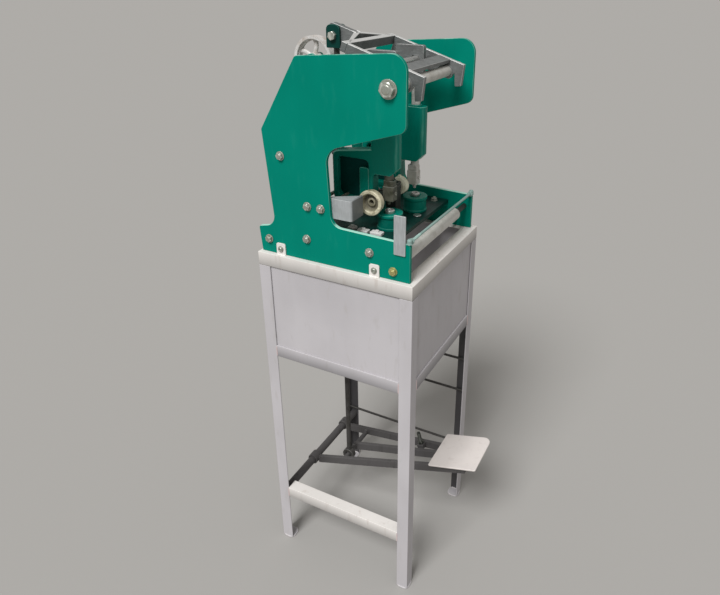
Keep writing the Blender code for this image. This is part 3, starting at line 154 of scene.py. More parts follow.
class Graph:
    """Node tree of one material, with the few patterns that the finishes share."""

    def __init__(self, made: bpy.types.Material) -> None:
        """Empty the material's tree and take its Object coordinates.

        Args:
            made: Material to fill.
        """
        made.use_nodes = True
        self.tree = made.node_tree
        self.tree.nodes.clear()
        self.place = Wire(self, self.node("ShaderNodeTexCoord").outputs["Object"])

    def node(self, kind: str, settings: dict[str, Any] | None = None,
             values: dict[Any, Any] | None = None) -> bpy.types.Node:
        """Make a node.

        Args:
            kind: Blender's name of the node type.
            settings: The node's own settings, set before its sockets.
            values: A number, a colour or a Wire for each socket, by name or index.

        Returns:
            The new node.
        """
        made = self.tree.nodes.new(kind)
        for key, value in (settings or {}).items():
            setattr(made, key, value)
        for key, value in (values or {}).items():
            socket = made.inputs[key]
            if isinstance(value, Wire):
                self.tree.links.new(value.socket, socket)
            elif socket.type == "RGBA":
                socket.default_value = (*value, 1.0)
            else:
                socket.default_value = value
        return made

    def stretched(self, scale: Triple) -> Wire:
        """Object coordinates multiplied by a scale for each axis."""
        node = self.node("ShaderNodeMapping", {"vector_type": "POINT"},
                         {"Vector": self.place, "Scale": scale})
        return Wire(self, node.outputs[0])

    def noise(self, scale: float, detail: float = 2.0, stretch: Triple = (1, 1, 1)) -> Wire:
        """Cloudy pattern from 0 to 1, with so many cells to the metre along each stretched axis."""
        node = self.node("ShaderNodeTexNoise", None,
                         {"Vector": self.stretched(stretch), "Scale": scale, "Detail": detail})
        return Wire(self, node.outputs["Fac"])

    def between(self, value: Wire, low: float, high: float, bottom: float = 0.0,
                top: float = 1.0) -> Wire:
        """Smooth step of a value from one range to another, clamped at both ends."""
        node = self.node("ShaderNodeMapRange", {"interpolation_type": "SMOOTHSTEP"},
                         {"Value": value, "From Min": low, "From Max": high, "To Min": bottom,
                          "To Max": top})
        return Wire(self, node.outputs[0])

    def mix(self, share: Wire | float, first: Wire | Triple, second: Wire | Triple) -> Wire:
        """Colour that goes from the first to the second as the share goes from 0 to 1."""
        node = self.node("ShaderNodeMix", {"data_type": "RGBA"}, {0: share, 6: first, 7: second})
        return Wire(self, node.outputs[2])

    def stored(self, label: str) -> Wire:
        """The mesh's own attribute: one is 1 on rounded edges and painted highlights, shade is 1 in
        full painted shade.
        """
        node = self.node("ShaderNodeAttribute", {"attribute_name": label})
        return Wire(self, node.outputs["Fac"])

    def bump(self, height: Wire, distance: float, strength: float = 1.0) -> Wire:
        """Normal that follows a height pattern of the given depth."""
        node = self.node("ShaderNodeBump", None,
                         {"Height": height, "Distance": distance, "Strength": strength})
        return Wire(self, node.outputs[0])

    def surface(self, colour: Wire, roughness: Wire | float, normal: Wire, metallic: float,
                specular: float) -> None:
        """Close the tree with a Principled shader."""
        shader = self.node("ShaderNodeBsdfPrincipled", None,
                           {"Base Color": colour, "Roughness": roughness, "Normal": normal,
                            "Metallic": metallic, "Specular IOR Level": specular})
        self.node("ShaderNodeOutputMaterial", None, {"Surface": Wire(self, shader.outputs[0])})


@dataclass(frozen=True)
class Finish:
    """What every finish has: a name, the record's slot and its main colour."""

    name: str
    slot: Slot
    colour: Triple

    def paint(self, graph: Graph) -> None:
        """Fill the material's node tree; each kind of finish has its own."""
        raise NotImplementedError

    def with_painted_shade(self, graph: Graph, tone: Wire) -> Wire:
        """Painted shade: the tone sinks to a dark share of the main colour where the mesh's shade is
        high.
        """
        return graph.mix(graph.stored("shade"), tone, tuple(PAINTED_SHADE_TONE * value for value in self.colour))

    def material(self) -> bpy.types.Material:
        """The finish's material, made once.

        Returns:
            The material of that name.
        """
        made = bpy.data.materials.get(self.name)
        if made is None:
            made = bpy.data.materials.new(self.name)
            self.paint(Graph(made))
            made.diffuse_color = (*self.colour, 1.0)
        return made


@dataclass(frozen=True)
class Enamel(Finish):
    """Brushed or sprayed enamel: cloudy tone, orange peel, faint runs, dust, rubbed edges that also
    carry painted highlights, and painted shade.
    """

    rubbed_and_highlight_tone: Triple
    dust: Triple
    roughness: float = 0.40
    specular: float = 0.35
    peel: float = 0.00012
    rub_and_highlight: float = 0.55
    dusty: float = 0.20

    def paint(self, graph: Graph) -> None:
        """Colour is cloudy paint, then dust in patches, then a pale tone on rubbed edges and painted
        highlights, then painted shade.

        Args:
            graph: The material's graph.
        """
        clouds = graph.noise(5.0, 3.0)
        runs = graph.noise(9.0, 2.0, (3.0, 3.0, 0.35))
        specks = graph.noise(420.0, 2.0)
        scuffs = graph.noise(70.0, 5.0, (1.0, 1.0, 0.25))
        darker = tuple(0.94 * value for value in self.colour)
        lighter = tuple(min(1.0, 1.04 * value) for value in self.colour)
        tone = graph.mix(graph.between(clouds + 0.3 * runs, 0.45, 0.85), darker, lighter)
        patches = graph.between(scuffs, 0.56, 0.74) * self.dusty
        tone = graph.mix(patches, tone, self.dust)
        # pale edge tone: rubbed rounded edges, and painted highlights where the mesh raises the edge
        # attribute
        edge = graph.between(graph.stored("wear_and_highlight") + 0.55 * scuffs, 0.82, 1.25) * self.rub_and_highlight
        tone = graph.mix(edge, tone, self.rubbed_and_highlight_tone)
        tone = self.with_painted_shade(graph, tone)
        rough = graph.between(clouds + 0.4 * specks, 0.5, 0.95, self.roughness - 0.06,
                              self.roughness + 0.10) + 0.25 * patches
        peel = graph.noise(260.0, 2.0) + 0.35 * specks
        graph.surface(tone, rough, graph.bump(peel, self.peel), 0.0, self.specular)


@dataclass(frozen=True)
class MillSteel(Finish):
    """Bare or plated steel with drawn streaks, stained patches, bright edges that also carry painted
    highlights, and painted shade.
    """

    stain: Triple
    bright: Triple
    roughness: float = 0.38
    metallic: float = 0.85
    streak: Triple = (1.0, 0.06, 1.0)
    stained: float = 0.55
    depth: float = 0.00005

    def paint(self, graph: Graph) -> None:
        """Colour is streaked steel, then stains in patches, then bright metal on worn edges and painted
        highlights, then painted shade.

        Args:
            graph: The material's graph.
        """
        streaks = graph.noise(900.0, 3.0, self.streak)
        clouds = graph.noise(38.0, 4.0)
        spots = graph.noise(240.0, 3.0)
        darker = tuple(0.80 * value for value in self.colour)
        tone = graph.mix(graph.between(streaks, 0.3, 0.7), darker, self.colour)
        patches = graph.between(clouds + 0.3 * spots, 0.58, 0.86) * self.stained
        tone = graph.mix(patches, tone, self.stain)
        # bright edge tone: worn edges, and painted highlights where the mesh raises the edge attribute
        edge = graph.between(graph.stored("wear_and_highlight") + 0.4 * spots, 0.7, 1.2) * 0.7
        tone = self.with_painted_shade(graph, graph.mix(edge, tone, self.bright))
        rough = graph.between(streaks, 0.2, 0.8, self.roughness - 0.08, self.roughness + 0.08)
        rough = rough + 0.2 * patches
        graph.surface(tone, rough, graph.bump(streaks + 0.5 * spots, self.depth), self.metallic, 0.5)


@dataclass(frozen=True)
class SandCasting(Finish):
    """Painted or bare casting with a grainy skin and dirt in its hollows."""

    dirt: Triple
    rubbed_and_highlight_tone: Triple
    roughness: float = 0.48
    metallic: float = 0.0
    dirty: float = 0.75
    grain: float = 0.00025

    def paint(self, graph: Graph) -> None:
        """Colour is mottled skin, then dirt in broad patches, then the rubbed tone on edges.

        Args:
            graph: The material's graph.
        """
        clouds = graph.noise(60.0, 4.0)
        grains = graph.noise(520.0, 3.0)
        mottled = graph.mix(grains, tuple(0.85 * value for value in self.colour), self.colour)
        patches = graph.between(clouds + 0.25 * grains, 0.56, 0.82) * self.dirty
        tone = graph.mix(patches, mottled, self.dirt)
        # rubbed edge tone, which also shows painted highlights where the mesh raises the edge attribute
        edge = graph.between(graph.stored("wear_and_highlight") + 0.5 * grains, 0.75, 1.2) * 0.7
        tone = self.with_painted_shade(graph, graph.mix(edge, tone, self.rubbed_and_highlight_tone))
        rough = graph.between(grains, 0.2, 0.8, self.roughness - 0.08, self.roughness + 0.12)
        height = grains + 0.6 * graph.noise(190.0, 2.0)
        graph.surface(tone, rough, graph.bump(height, self.grain), self.metallic, 0.4)


# Green of the side plates; its pale edge tone serves rubbed edges and the painted highlight on their
# up-facing rims.
GREEN = Enamel("green_enamel", Slot.GREEN_PAINT, srgb(0, 127, 109), srgb(176, 224, 208),
               srgb(40, 146, 128), roughness=0.42, specular=0.04, dusty=0.12, rub_and_highlight=0.85)
# Green of the castings; its pale edge tone serves rubbed edges and the painted highlights on the heads.
DEEP_GREEN = Enamel("green_casting_enamel", Slot.GREEN_PAINT, srgb(0, 126, 109), srgb(140, 212, 194),
                    srgb(20, 116, 102), roughness=0.34, specular=0.14, peel=0.0003, rub_and_highlight=0.75)
# Dark green as painted shade for the web inside each head's pocket.
SHADOW_GREEN = Enamel("green_painted_shade", Slot.GREEN_PAINT, srgb(8, 66, 62), srgb(20, 80, 72),
                      srgb(4, 76, 70), roughness=0.5, specular=0.05, peel=0.0003)
OILY_GREEN = Enamel("oily_green_enamel", Slot.GREEN_PAINT, srgb(3, 58, 52), srgb(56, 112, 102),
                    srgb(16, 68, 62), roughness=0.36, specular=0.15, peel=0.0003, dusty=0.2)
GREY = Enamel("grey_stand_paint", Slot.GREY_PAINT, srgb(187, 184, 187), srgb(222, 217, 214),
              srgb(170, 166, 163), roughness=0.50, specular=0.12, dusty=0.35, rub_and_highlight=0.6)
# Paler copy of the stand grey: painted light on the rails' and rung's top faces, their sides taking
# painted shade.
LIT_RAIL_GREY = Enamel("grey_rail_paint_lit", Slot.GREY_PAINT, srgb(224, 220, 216), srgb(236, 233, 228),
                   srgb(196, 186, 178), roughness=0.50, specular=0.12, dusty=0.5, rub_and_highlight=0.6)
# Darker copy of the stand grey: painted shade on the pedal frame and the pedal shaft.
SHADY_GREY = Enamel("pedal_frame_painted_shade", Slot.GREY_PAINT, srgb(84, 82, 82), srgb(128, 125, 124),
                    srgb(60, 59, 58), roughness=0.48, specular=0.15, dusty=0.5, rub_and_highlight=0.4)
PALE = Enamel("pedal_plate_paint", Slot.PALE_PAINT, srgb(217, 210, 206), srgb(238, 235, 230),
              srgb(198, 190, 185), roughness=0.42, specular=0.2, dusty=0.5, rub_and_highlight=0.4)
WELD_GREY = Enamel("painted_weld", Slot.GREY_PAINT, srgb(186, 176, 177), srgb(204, 178, 175),
                   srgb(180, 152, 148), roughness=0.45, specular=0.2, dusty=0.7, rub_and_highlight=0.5)
STEEL = MillSteel("flat_bar_steel", Slot.BARE_STEEL, srgb(132, 135, 135), srgb(92, 92, 90),
                  srgb(236, 236, 234), roughness=0.45, metallic=0.45, stained=0.45)
PALE_STEEL = MillSteel("pale_cast_steel", Slot.BARE_STEEL, srgb(224, 222, 220), srgb(160, 144, 128),
                       srgb(238, 238, 236), roughness=0.5, metallic=0.1, streak=(1.0, 1.0, 1.0),
                       stained=0.7)
STRIP = MillSteel("bracket_steel", Slot.BARE_STEEL, srgb(178, 182, 184), srgb(140, 142, 142),
                  srgb(228, 230, 230), roughness=0.48, metallic=0.2, streak=(1.0, 1.0, 0.06),
                  stained=0.3)
SHAFTING = MillSteel("turned_steel", Slot.BARE_STEEL, srgb(208, 207, 201), srgb(150, 144, 132),
                     srgb(236, 234, 228), roughness=0.40, metallic=0.2, streak=(6.0, 1.0, 1.0),
                     stained=0.4)
PUNCH_STEEL = MillSteel("punch_steel", Slot.BARE_STEEL, srgb(206, 205, 200), srgb(140, 132, 118),
                        srgb(236, 234, 228), roughness=0.42, metallic=0.15, stained=0.5)
GROUND = MillSteel("ground_steel", Slot.BRIGHT_STEEL, srgb(206, 205, 202), srgb(150, 146, 138),
                   srgb(240, 240, 238), roughness=0.28, metallic=0.8, streak=(6.0, 1.0, 1.0),
                   stained=0.25)
ZINC = MillSteel("zinc_plate", Slot.ZINC, srgb(172, 176, 166), srgb(128, 120, 92),
                 srgb(230, 230, 222), roughness=0.36, metallic=0.55, streak=(1.0, 1.0, 1.0),
                 stained=0.6)
YELLOW = MillSteel("yellow_zinc_plate", Slot.YELLOW_ZINC, srgb(176, 172, 112), srgb(120, 104, 62),
                   srgb(214, 206, 150), roughness=0.36, metallic=0.5, streak=(1.0, 1.0, 1.0))
DARK = SandCasting("oiled_dark_steel", Slot.DARK_STEEL, srgb(62, 64, 60), srgb(34, 36, 32),
                   srgb(128, 128, 120), roughness=0.42, metallic=0.4, dirty=0.6)
ROD_STEEL = SandCasting("dark_rod_steel", Slot.DARK_STEEL, srgb(78, 76, 74), srgb(48, 46, 42),
                        srgb(140, 138, 134), roughness=0.46, metallic=0.3, dirty=0.6)
BED_STEEL = SandCasting("greasy_bed_steel", Slot.DARK_STEEL, srgb(8, 58, 52), srgb(6, 26, 24),
                        srgb(96, 140, 130), roughness=0.40, metallic=0.1, dirty=0.7)
CREAM = SandCasting("cream_feed_casting", Slot.CREAM_CASTING, srgb(214, 207, 180), srgb(112, 104, 76),
                    srgb(240, 235, 212), roughness=0.40, metallic=0.05, dirty=0.8)
# Paler copy of the cream casting: painted light on the collar, which sits in the side plate's shadow.
LIT_CREAM = SandCasting("cream_collar_painted_light", Slot.CREAM_CASTING, srgb(250, 249, 226),
                           srgb(176, 170, 128), srgb(254, 253, 240), roughness=0.42, dirty=0.4)
GREASY_STEEL = SandCasting("greasy_punch_steel", Slot.BARE_STEEL, srgb(104, 104, 92), srgb(52, 54, 40),
                           srgb(186, 188, 180), roughness=0.38, metallic=0.2, dirty=0.8)
PALE_GREEN = Enamel("pale_green_rod", Slot.BARE_STEEL, srgb(136, 162, 156), srgb(196, 232, 220),
                    srgb(90, 120, 112), roughness=0.4, specular=0.2, rub_and_highlight=0.6)
SPRING_WIRE = MillSteel("spring_wire", Slot.DARK_STEEL, srgb(72, 72, 74), srgb(44, 40, 34),
                        srgb(140, 140, 140), roughness=0.36, metallic=0.7)


# Geometry on grids
class Axis(Enum):
    """Direction that a shape is pushed along or turned about."""

    X = "x"
    Y = "y"
    Z = "z"

    def lift(self, a: Array, b: Array, along: Array) -> Array:
        """Points from two cross coordinates and the distance along the axis.

        Args:
            a: Y for the X axis, X for the others.
            b: Z for the X and Y axes, Y for the Z axis.
            along: Distance along the axis.

        Returns:
            Array of points with the broadcast shape of the three.
        """
        a, b, along = np.broadcast_arrays(a, b, along)
        order = {Axis.X: (along, a, b), Axis.Y: (a, along, b), Axis.Z: (a, b, along)}[self]
        return np.stack(order, axis=-1)


@dataclass(frozen=True)
class Place:
    """Frame of a sub-assembly: its origin, and its tilt about X."""

    origin: Triple
    tilt: float = 0.0

    def put(self, points: Array) -> Array:
        """Points turned about X by the tilt and shifted to the origin.

        Args:
            points: Points in the sub-assembly's frame.

        Returns:
            The points in the world.
        """
        turned_y = points[..., 1] * math.cos(self.tilt) - points[..., 2] * math.sin(self.tilt)
        turned_z = points[..., 1] * math.sin(self.tilt) + points[..., 2] * math.cos(self.tilt)
        return np.stack([points[..., 0], turned_y, turned_z], axis=-1) + np.array(self.origin)


@dataclass
class Shell:
    """Closed skin over rings of points; a looped one joins its last ring to its first."""

    points: Array
    # Share of the edge tone at each point, for rubbed edges and painted highlights; shade below is the
    # share of painted shade.
    wear_and_highlight: Array
    looped: bool = False
    shade: Array | float = 0.0

    def at(self, place: Place) -> "Shell":
        """The same skin in a sub-assembly's frame."""
        return replace(self, points=place.put(self.points))

    def faces(self, start: int) -> list[list[int]]:
        """Quads between neighbouring rings, and an end face on each open end.

        Args:
            start: Index of the skin's first point.

        Returns:
            Point indices of each face.
        """
        rows, columns = self.points.shape[:2]
        index = start + np.arange(rows * columns).reshape(rows, columns)
        rings = np.vstack([index, index[:1]]) if self.looped else index
        near, far = rings[:-1], rings[1:]
        corners = [near, np.roll(near, -1, axis=1), np.roll(far, -1, axis=1), far]
        quads = np.stack(corners, axis=-1).reshape(-1, 4).tolist()
        if not self.looped:
            quads += [index[0].tolist(), index[-1].tolist()]
        return quads


def fillet(before: Array, corner: Array, after: Array, radius: float, steps: int) -> Array:
    """Arc tangent to both sides of a corner, swung about its centre by equal angles.

    Args:
        before: The point before the corner.
        corner: The corner.
        after: The point after it.
        radius: Fillet radius, cut down where half of a side is shorter.
        steps: Number of chords.

    Returns:
        The points of the arc, or the corner alone for a zero radius.
    """
    if radius == 0:
        return corner[None]
    back = before - corner
    ahead = after - corner
    reach = min(np.linalg.norm(back), np.linalg.norm(ahead)) / 2
    back = back / np.linalg.norm(back)
    ahead = ahead / np.linalg.norm(ahead)
    half = math.acos(float(np.clip(back @ ahead, -1, 1))) / 2
    tangent = min(radius / math.tan(half), reach)
    middle = back + ahead
    centre = corner + middle / np.linalg.norm(middle) * tangent / math.cos(half)
    start = corner + back * tangent - centre
    end = corner + ahead * tangent - centre
    sweep = math.pi - 2 * half
    share = np.linspace(0, 1, steps + 1)[:, None]
    swung = np.sin((1 - share) * sweep) * start + np.sin(share * sweep) * end
    return centre + swung / math.sin(sweep)


def rounded(corners: Sequence[Corner], steps: int = 6) -> Array:
    """Closed outline through (a, b, radius) corners, counter-clockwise, with arcs at the corners.

    Args:
        corners: The corners, in order.
        steps: Chords of each arc.

    Returns:
        Points of the outline.
    """
    flat = np.array([corner[:2] for corner in corners], float)
    arcs = [fillet(flat[i - 1], flat[i], flat[(i + 1) % len(flat)], corners[i][2], steps)
            for i in range(len(flat))]
    outline = np.concatenate(arcs)
    apart = np.linalg.norm(np.roll(outline, -1, axis=0) - outline, axis=1) > SAME_POINT
    outline = outline[apart]
    following = np.roll(outline, -1, axis=0)
    area = np.sum(outline[:, 0] * following[:, 1] - outline[:, 1] * following[:, 0])
    return outline if area > 0 else outline[::-1]


def eased(points: Sequence[Pair], radius: float, steps: int = 3) -> Array:
    """Open profile with each inner corner rounded by an arc.

    Args:
        points: Corners of the profile.
        radius: Radius of each arc.
        steps: Chords of each arc.

    Returns:
        Points of the profile.
    """
    flat = np.array(points, float)
    inner = range(1, len(flat) - 1)
    arcs = [fillet(flat[i - 1], flat[i], flat[i + 1], radius, steps) for i in inner]
    return np.concatenate([flat[:1], *arcs, flat[-1:]])


def ring_box(a_low: float, a_high: float, b_low: float, b_high: float, radius: float) -> Array:
    """Rectangle with rounded corners."""
    return rounded([(a_low, b_low, radius), (a_high, b_low, radius), (a_high, b_high, radius),
                    (a_low, b_high, radius)])


def inset(outline: Array, amount: float) -> Array:
    """Outline moved inwards: each corner goes along the sum of its two sides' normals over one plus
    their product, which keeps both sides at the same distance.

    Args:
        outline: Closed outline.
        amount: Distance inwards.

    Returns:
        The moved outline.
    """
    before = outline - np.roll(outline, 1, axis=0)
    after = np.roll(before, -1, axis=0)
    first = np.stack([-before[:, 1], before[:, 0]], axis=1) / np.linalg.norm(before, axis=1)[:, None]
    second = np.stack([-after[:, 1], after[:, 0]], axis=1) / np.linalg.norm(after, axis=1)[:, None]
    product = np.sum(first * second, axis=1)[:, None]
    return outline + amount * (first + second) / (1 + product)


def softened(low: float, high: float, edge: float, steps: int = 3) -> tuple[Array, Array, Array]:
    """Distances along, insets and wear of the rings of a solid whose two ends have rounded edges.

    Each edge is a quarter circle: the inset shrinks as one minus the sine of the turn while the
    distance along grows as one minus its cosine.

    Args:
        low: Lower end.
        high: Upper end.
        edge: Radius of its rims.
        steps: Chords of each arc.

    Returns:
        Distance along, inset and wear of each ring.
    """
    turn = np.linspace(0, math.pi / 2, steps + 1)
    rise = edge * (1 - np.cos(turn))
    draw = edge * (1 - np.sin(turn))
    along = np.concatenate([low + rise, high - rise[::-1]])
    worn = np.sin(2 * turn)
    return along, np.concatenate([draw, draw[::-1]]), np.concatenate([worn, worn[::-1]])


def prism(outline: Array, axis: Axis, low: float, high: float, edge: float = EDGE) -> Shell:
    """Outline pushed along an axis, with both rims rounded.

    Args:
        outline: Closed outline.
        axis: Axis of the shape.
        low: Lower end.
        high: Upper end.
        edge: Radius of its rims.

    Returns:
        The solid's skin.
    """
    along, draw, worn = softened(low, high, edge)
    flat = np.stack([inset(outline, amount) for amount in draw])
    points = axis.lift(flat[..., 0], flat[..., 1], along[:, None])
    return Shell(points, np.broadcast_to(worn[:, None], points.shape[:2]))


def turned(profile: Array, axis: Axis, a: float = 0.0, b: float = 0.0, sides: int = 48,
           looped: bool = False) -> Shell:
    """Profile of (along, radius) pairs turned about an axis through (a, b).

    The wear is how sharply the profile bends at each ring.

    Args:
        profile: Rows of (along, radius).
        axis: Axis of the shape.
        a: First cross coordinate.
        b: Second cross coordinate.
        sides: Points round.
        looped: Whether the profile closes.

    Returns:
        The turned skin.
    """
    angle = np.arange(sides) * math.tau / sides
    radius = profile[:, 1][:, None]
    points = axis.lift(a + radius * np.cos(angle), b + radius * np.sin(angle), profile[:, :1])
    step = np.gradient(profile, axis=0)
    heading = np.unwrap(np.arctan2(step[:, 1], step[:, 0]))
    bend = np.clip(np.abs(np.gradient(heading)) * 1.5, 0, 1)
    return Shell(points, np.broadcast_to(bend[:, None], points.shape[:2]), looped)


def ringed(outer: Array, hole: Array, centre: Pair, axis: Axis, low: float, high: float,
           edge: float = EDGE, rays: int = 160) -> Shell:
    """Solid between an outline and a hole, both read along rays from a centre inside the hole.

    The section goes up the outer wall and down the hole, so the grid closes on itself both ways.

    Args:
        outer: Outer outline.
        hole: Outline of the hole.
        centre: Point that the rays start from.
        axis: Axis of the shape.
        low: Lower end.
        high: Upper end.
        edge: Radius of its rims.
        rays: Number of rays.

    Returns:
        The pierced solid's skin.
    """
    angles = np.linspace(-math.pi, math.pi, rays, endpoint=False)
    direction = np.stack([np.cos(angles), np.sin(angles)], axis=1)

    def along_rays(outline: Array) -> Array:
        """Point of an outline on each ray, by its polar angle.

        Args:
            outline: Closed outline.

        Returns:
            One point for each ray.
        """
        closed = np.concatenate([outline, outline[:1]])
        share = np.linspace(0, 1, 8, endpoint=False)[None, :, None]
        dense = (closed[:-1, None] * (1 - share) + closed[1:, None] * share).reshape(-1, 2) - centre
        turn = np.arctan2(dense[:, 1], dense[:, 0])
        order = np.argsort(turn)
        reach = np.interp(angles, turn[order], np.linalg.norm(dense, axis=1)[order], period=math.tau)
        return np.array(centre) + direction * reach[:, None]

    along, draw, worn = softened(low, high, edge)
    up = [along_rays(inset(outer, amount)) for amount in draw]
    down = [along_rays(inset(hole, -amount)) for amount in draw[::-1]]
    flat = np.stack(up + down)
    heights = np.concatenate([along, along[::-1]])
    points = axis.lift(flat[..., 0], flat[..., 1], heights[:, None])
    wear_and_highlight = np.concatenate([worn, worn[::-1]])[:, None]
    return Shell(points, np.broadcast_to(wear_and_highlight, points.shape[:2]), looped=True)


def disc(axis: Axis, a: float, b: float, radius: float, low: float, high: float,
         edge: float = EDGE, sides: int = 48) -> Shell:
    """Round bar or washer with rounded rims.

    Args:
        axis: Axis of the shape.
        a: First cross coordinate.
        b: Second cross coordinate.
        radius: Outer radius.
        low: Lower end.
        high: Upper end.
        edge: Radius of its rims.
        sides: Points round.

    Returns:
        The bar's skin.
    """
    along, draw, worn = softened(low, high, edge)
    shell = turned(np.stack([along, radius - draw], axis=1), axis, a, b, sides)
    return replace(shell, wear_and_highlight=np.broadcast_to(worn[:, None], shell.points.shape[:2]))


def sleeve(axis: Axis, a: float, b: float, radius: float, bore: float, low: float, high: float,
           edge: float = EDGE, sides: int = 48) -> Shell:
    """Tube with rounded rims, inside and outside.

    Args:
        axis: Axis of the shape.
        a: First cross coordinate.
        b: Second cross coordinate.
        radius: Outer radius.
        bore: Inner radius.
        low: Lower end.
        high: Upper end.
        edge: Radius of its rims.
        sides: Points round.

    Returns:
        The tube's skin.
    """
    along, draw, _ = softened(low, high, edge)
    outer = np.stack([along, radius - draw], axis=1)
    inner = np.stack([along[::-1], bore + draw[::-1]], axis=1)
    return turned(np.concatenate([outer, inner]), axis, a, b, sides, looped=True)


def hexagon(axis: Axis, a: float, b: float, corner: float, base: float, top: float,
            turn: float = 0.0) -> Shell:
    """Bolt head or nut: at each angle and height the radius is the lesser of the hexagon's and that of
    a 30-degree cone at the outer end, which leaves the curved chamfers of a real head.

    Args:
        axis: Axis of the shape.
        a: First cross coordinate.
        b: Second cross coordinate.
        corner: Radius to a corner.
        base: Inner end along the axis.
        top: Outer end along the axis.
        turn: Angle about the axis.

    Returns:
        The head's skin.
    """
    flats = corner * math.cos(math.pi / HEXAGON)
    angle = np.arange(72) * math.tau / 72
    sector = (angle + turn) % (math.tau / HEXAGON) - math.pi / HEXAGON
    hexagonal = flats / np.cos(sector)
    depth = abs(top - base)
    slope = 1 / math.tan(math.radians(30))
    below = np.concatenate([[depth], np.linspace(0.35, 0, 10) * depth])
    cone = 0.93 * flats + below[:, None] * slope
    radius = np.minimum(hexagonal[None], cone)
    way = math.copysign(1, top - base)
    points = axis.lift(a + radius * np.cos(angle), b + radius * np.sin(angle),
                       (top - way * below)[:, None])
    wear_and_highlight = np.clip(np.abs(sector)[None] * 1.6 + 0.2 * (cone < hexagonal[None]), 0, 1)
    return Shell(points, np.broadcast_to(wear_and_highlight, points.shape[:2]))


def thread(axis: Axis, a: float, b: float, radius: float, low: float, high: float,
           pitch: float = 0.00125) -> Shell:
    """Screw thread: the radius dips by a triangle wave of distance along less the turn, and both ends
    are chamfered by a cap that falls with the distance to the end.

    Args:
        axis: Axis of the shape.
        a: First cross coordinate.
        b: Second cross coordinate.
        radius: Radius over the ridges.
        low: Lower end.
        high: Upper end.
        pitch: Rise of one turn.

    Returns:
        The thread's skin.
    """
    rows = int((high - low) / pitch * 8) + 2
    along = np.linspace(low, high, rows)[:, None]
    angle = np.arange(40) * math.tau / 40
    phase = (along / pitch - angle / math.tau) % 1
    ridge = radius - 0.55 * pitch * np.abs(2 * phase - 1)
    cap = radius - np.maximum(0, 0.8 * pitch - np.minimum(along - low, high - along))
    points_radius = np.minimum(ridge, cap)
    points = axis.lift(a + points_radius * np.cos(angle), b + points_radius * np.sin(angle), along)
    return Shell(points, 1 - np.abs(2 * phase - 1) * np.ones_like(ridge))


def tube(path: Array, radius: Array | float, sides: int = 14) -> Shell:
    """Round section carried along a path, with its frame square to the path's heading.

    Args:
        path: Points of the middle line.
        radius: One radius, or one for each point.
        sides: Points round.

    Returns:
        The tube's skin.
    """
    heading = np.gradient(path, axis=0)
    heading /= np.linalg.norm(heading, axis=1)[:, None]
    reference = np.eye(3)[int(np.argmin(np.abs(heading).mean(axis=0)))]
    side = np.cross(heading, reference)
    side /= np.linalg.norm(side, axis=1)[:, None]
    up = np.cross(side, heading)
    angle = np.arange(sides) * math.tau / sides
    reach = np.broadcast_to(radius, (len(path),))[:, None, None]
    ring = side[:, None] * np.cos(angle)[None, :, None] + up[:, None] * np.sin(angle)[None, :, None]
    points = path[:, None] + ring * reach
    return Shell(points, np.zeros(points.shape[:2]))


def weld_bead(start: Triple, end: Triple, radius: float = 0.0026) -> Shell:
    """Weld bead: a tube whose radius ripples with the pools and closes to nothing at both ends.

    Args:
        start: First end.
        end: Second end.
        radius: Radius at a ridge.

    Returns:
        The bead's skin.
    """
    first, last = np.array(start, float), np.array(end, float)
    length = float(np.linalg.norm(last - first))
    pools = max(3, round(length / (0.9 * radius)))
    share = np.linspace(0, 1, pools * 6 + 1)
    ripple = 0.84 + 0.16 * np.abs(np.sin(math.pi * pools * share))
    taper = np.sqrt(np.maximum(0.02, 1 - (2 * share - 1) ** 8))
    path = first + (last - first) * share[:, None]
    shell = tube(path, radius * ripple * taper, 10)
    return replace(shell, wear_and_highlight=np.broadcast_to((ripple * taper)[:, None], shell.points.shape[:2]))


def painted_highlight_top(bar: Shell) -> Shell:
    """Upright prism whose top face gets a full painted highlight.

    Args:
        bar: The upright prism.

    Returns:
        The same skin with its top ring raised to a full painted highlight.
    """
    wear_and_highlight = np.array(bar.wear_and_highlight)
    wear_and_highlight[-1] = 1
    return replace(bar, wear_and_highlight=wear_and_highlight)


def upward_highlight(plate: Shell) -> Array:
    """Painted highlight: how far each point of a cross-wise prism's rim faces up, squared; its two side
    faces get none.

    Args:
        plate: Prism along X.

    Returns:
        Wear of each point.
    """
    y, z = plate.points[..., 1], plate.points[..., 2]
    run_y = np.roll(y, -1, axis=1) - np.roll(y, 1, axis=1)
    run_z = np.roll(z, -1, axis=1) - np.roll(z, 1, axis=1)
    upward = np.clip(-run_y / np.hypot(run_y, run_z), 0, 1) ** 2
    upward[0] = 0
    upward[-1] = 0
    return upward


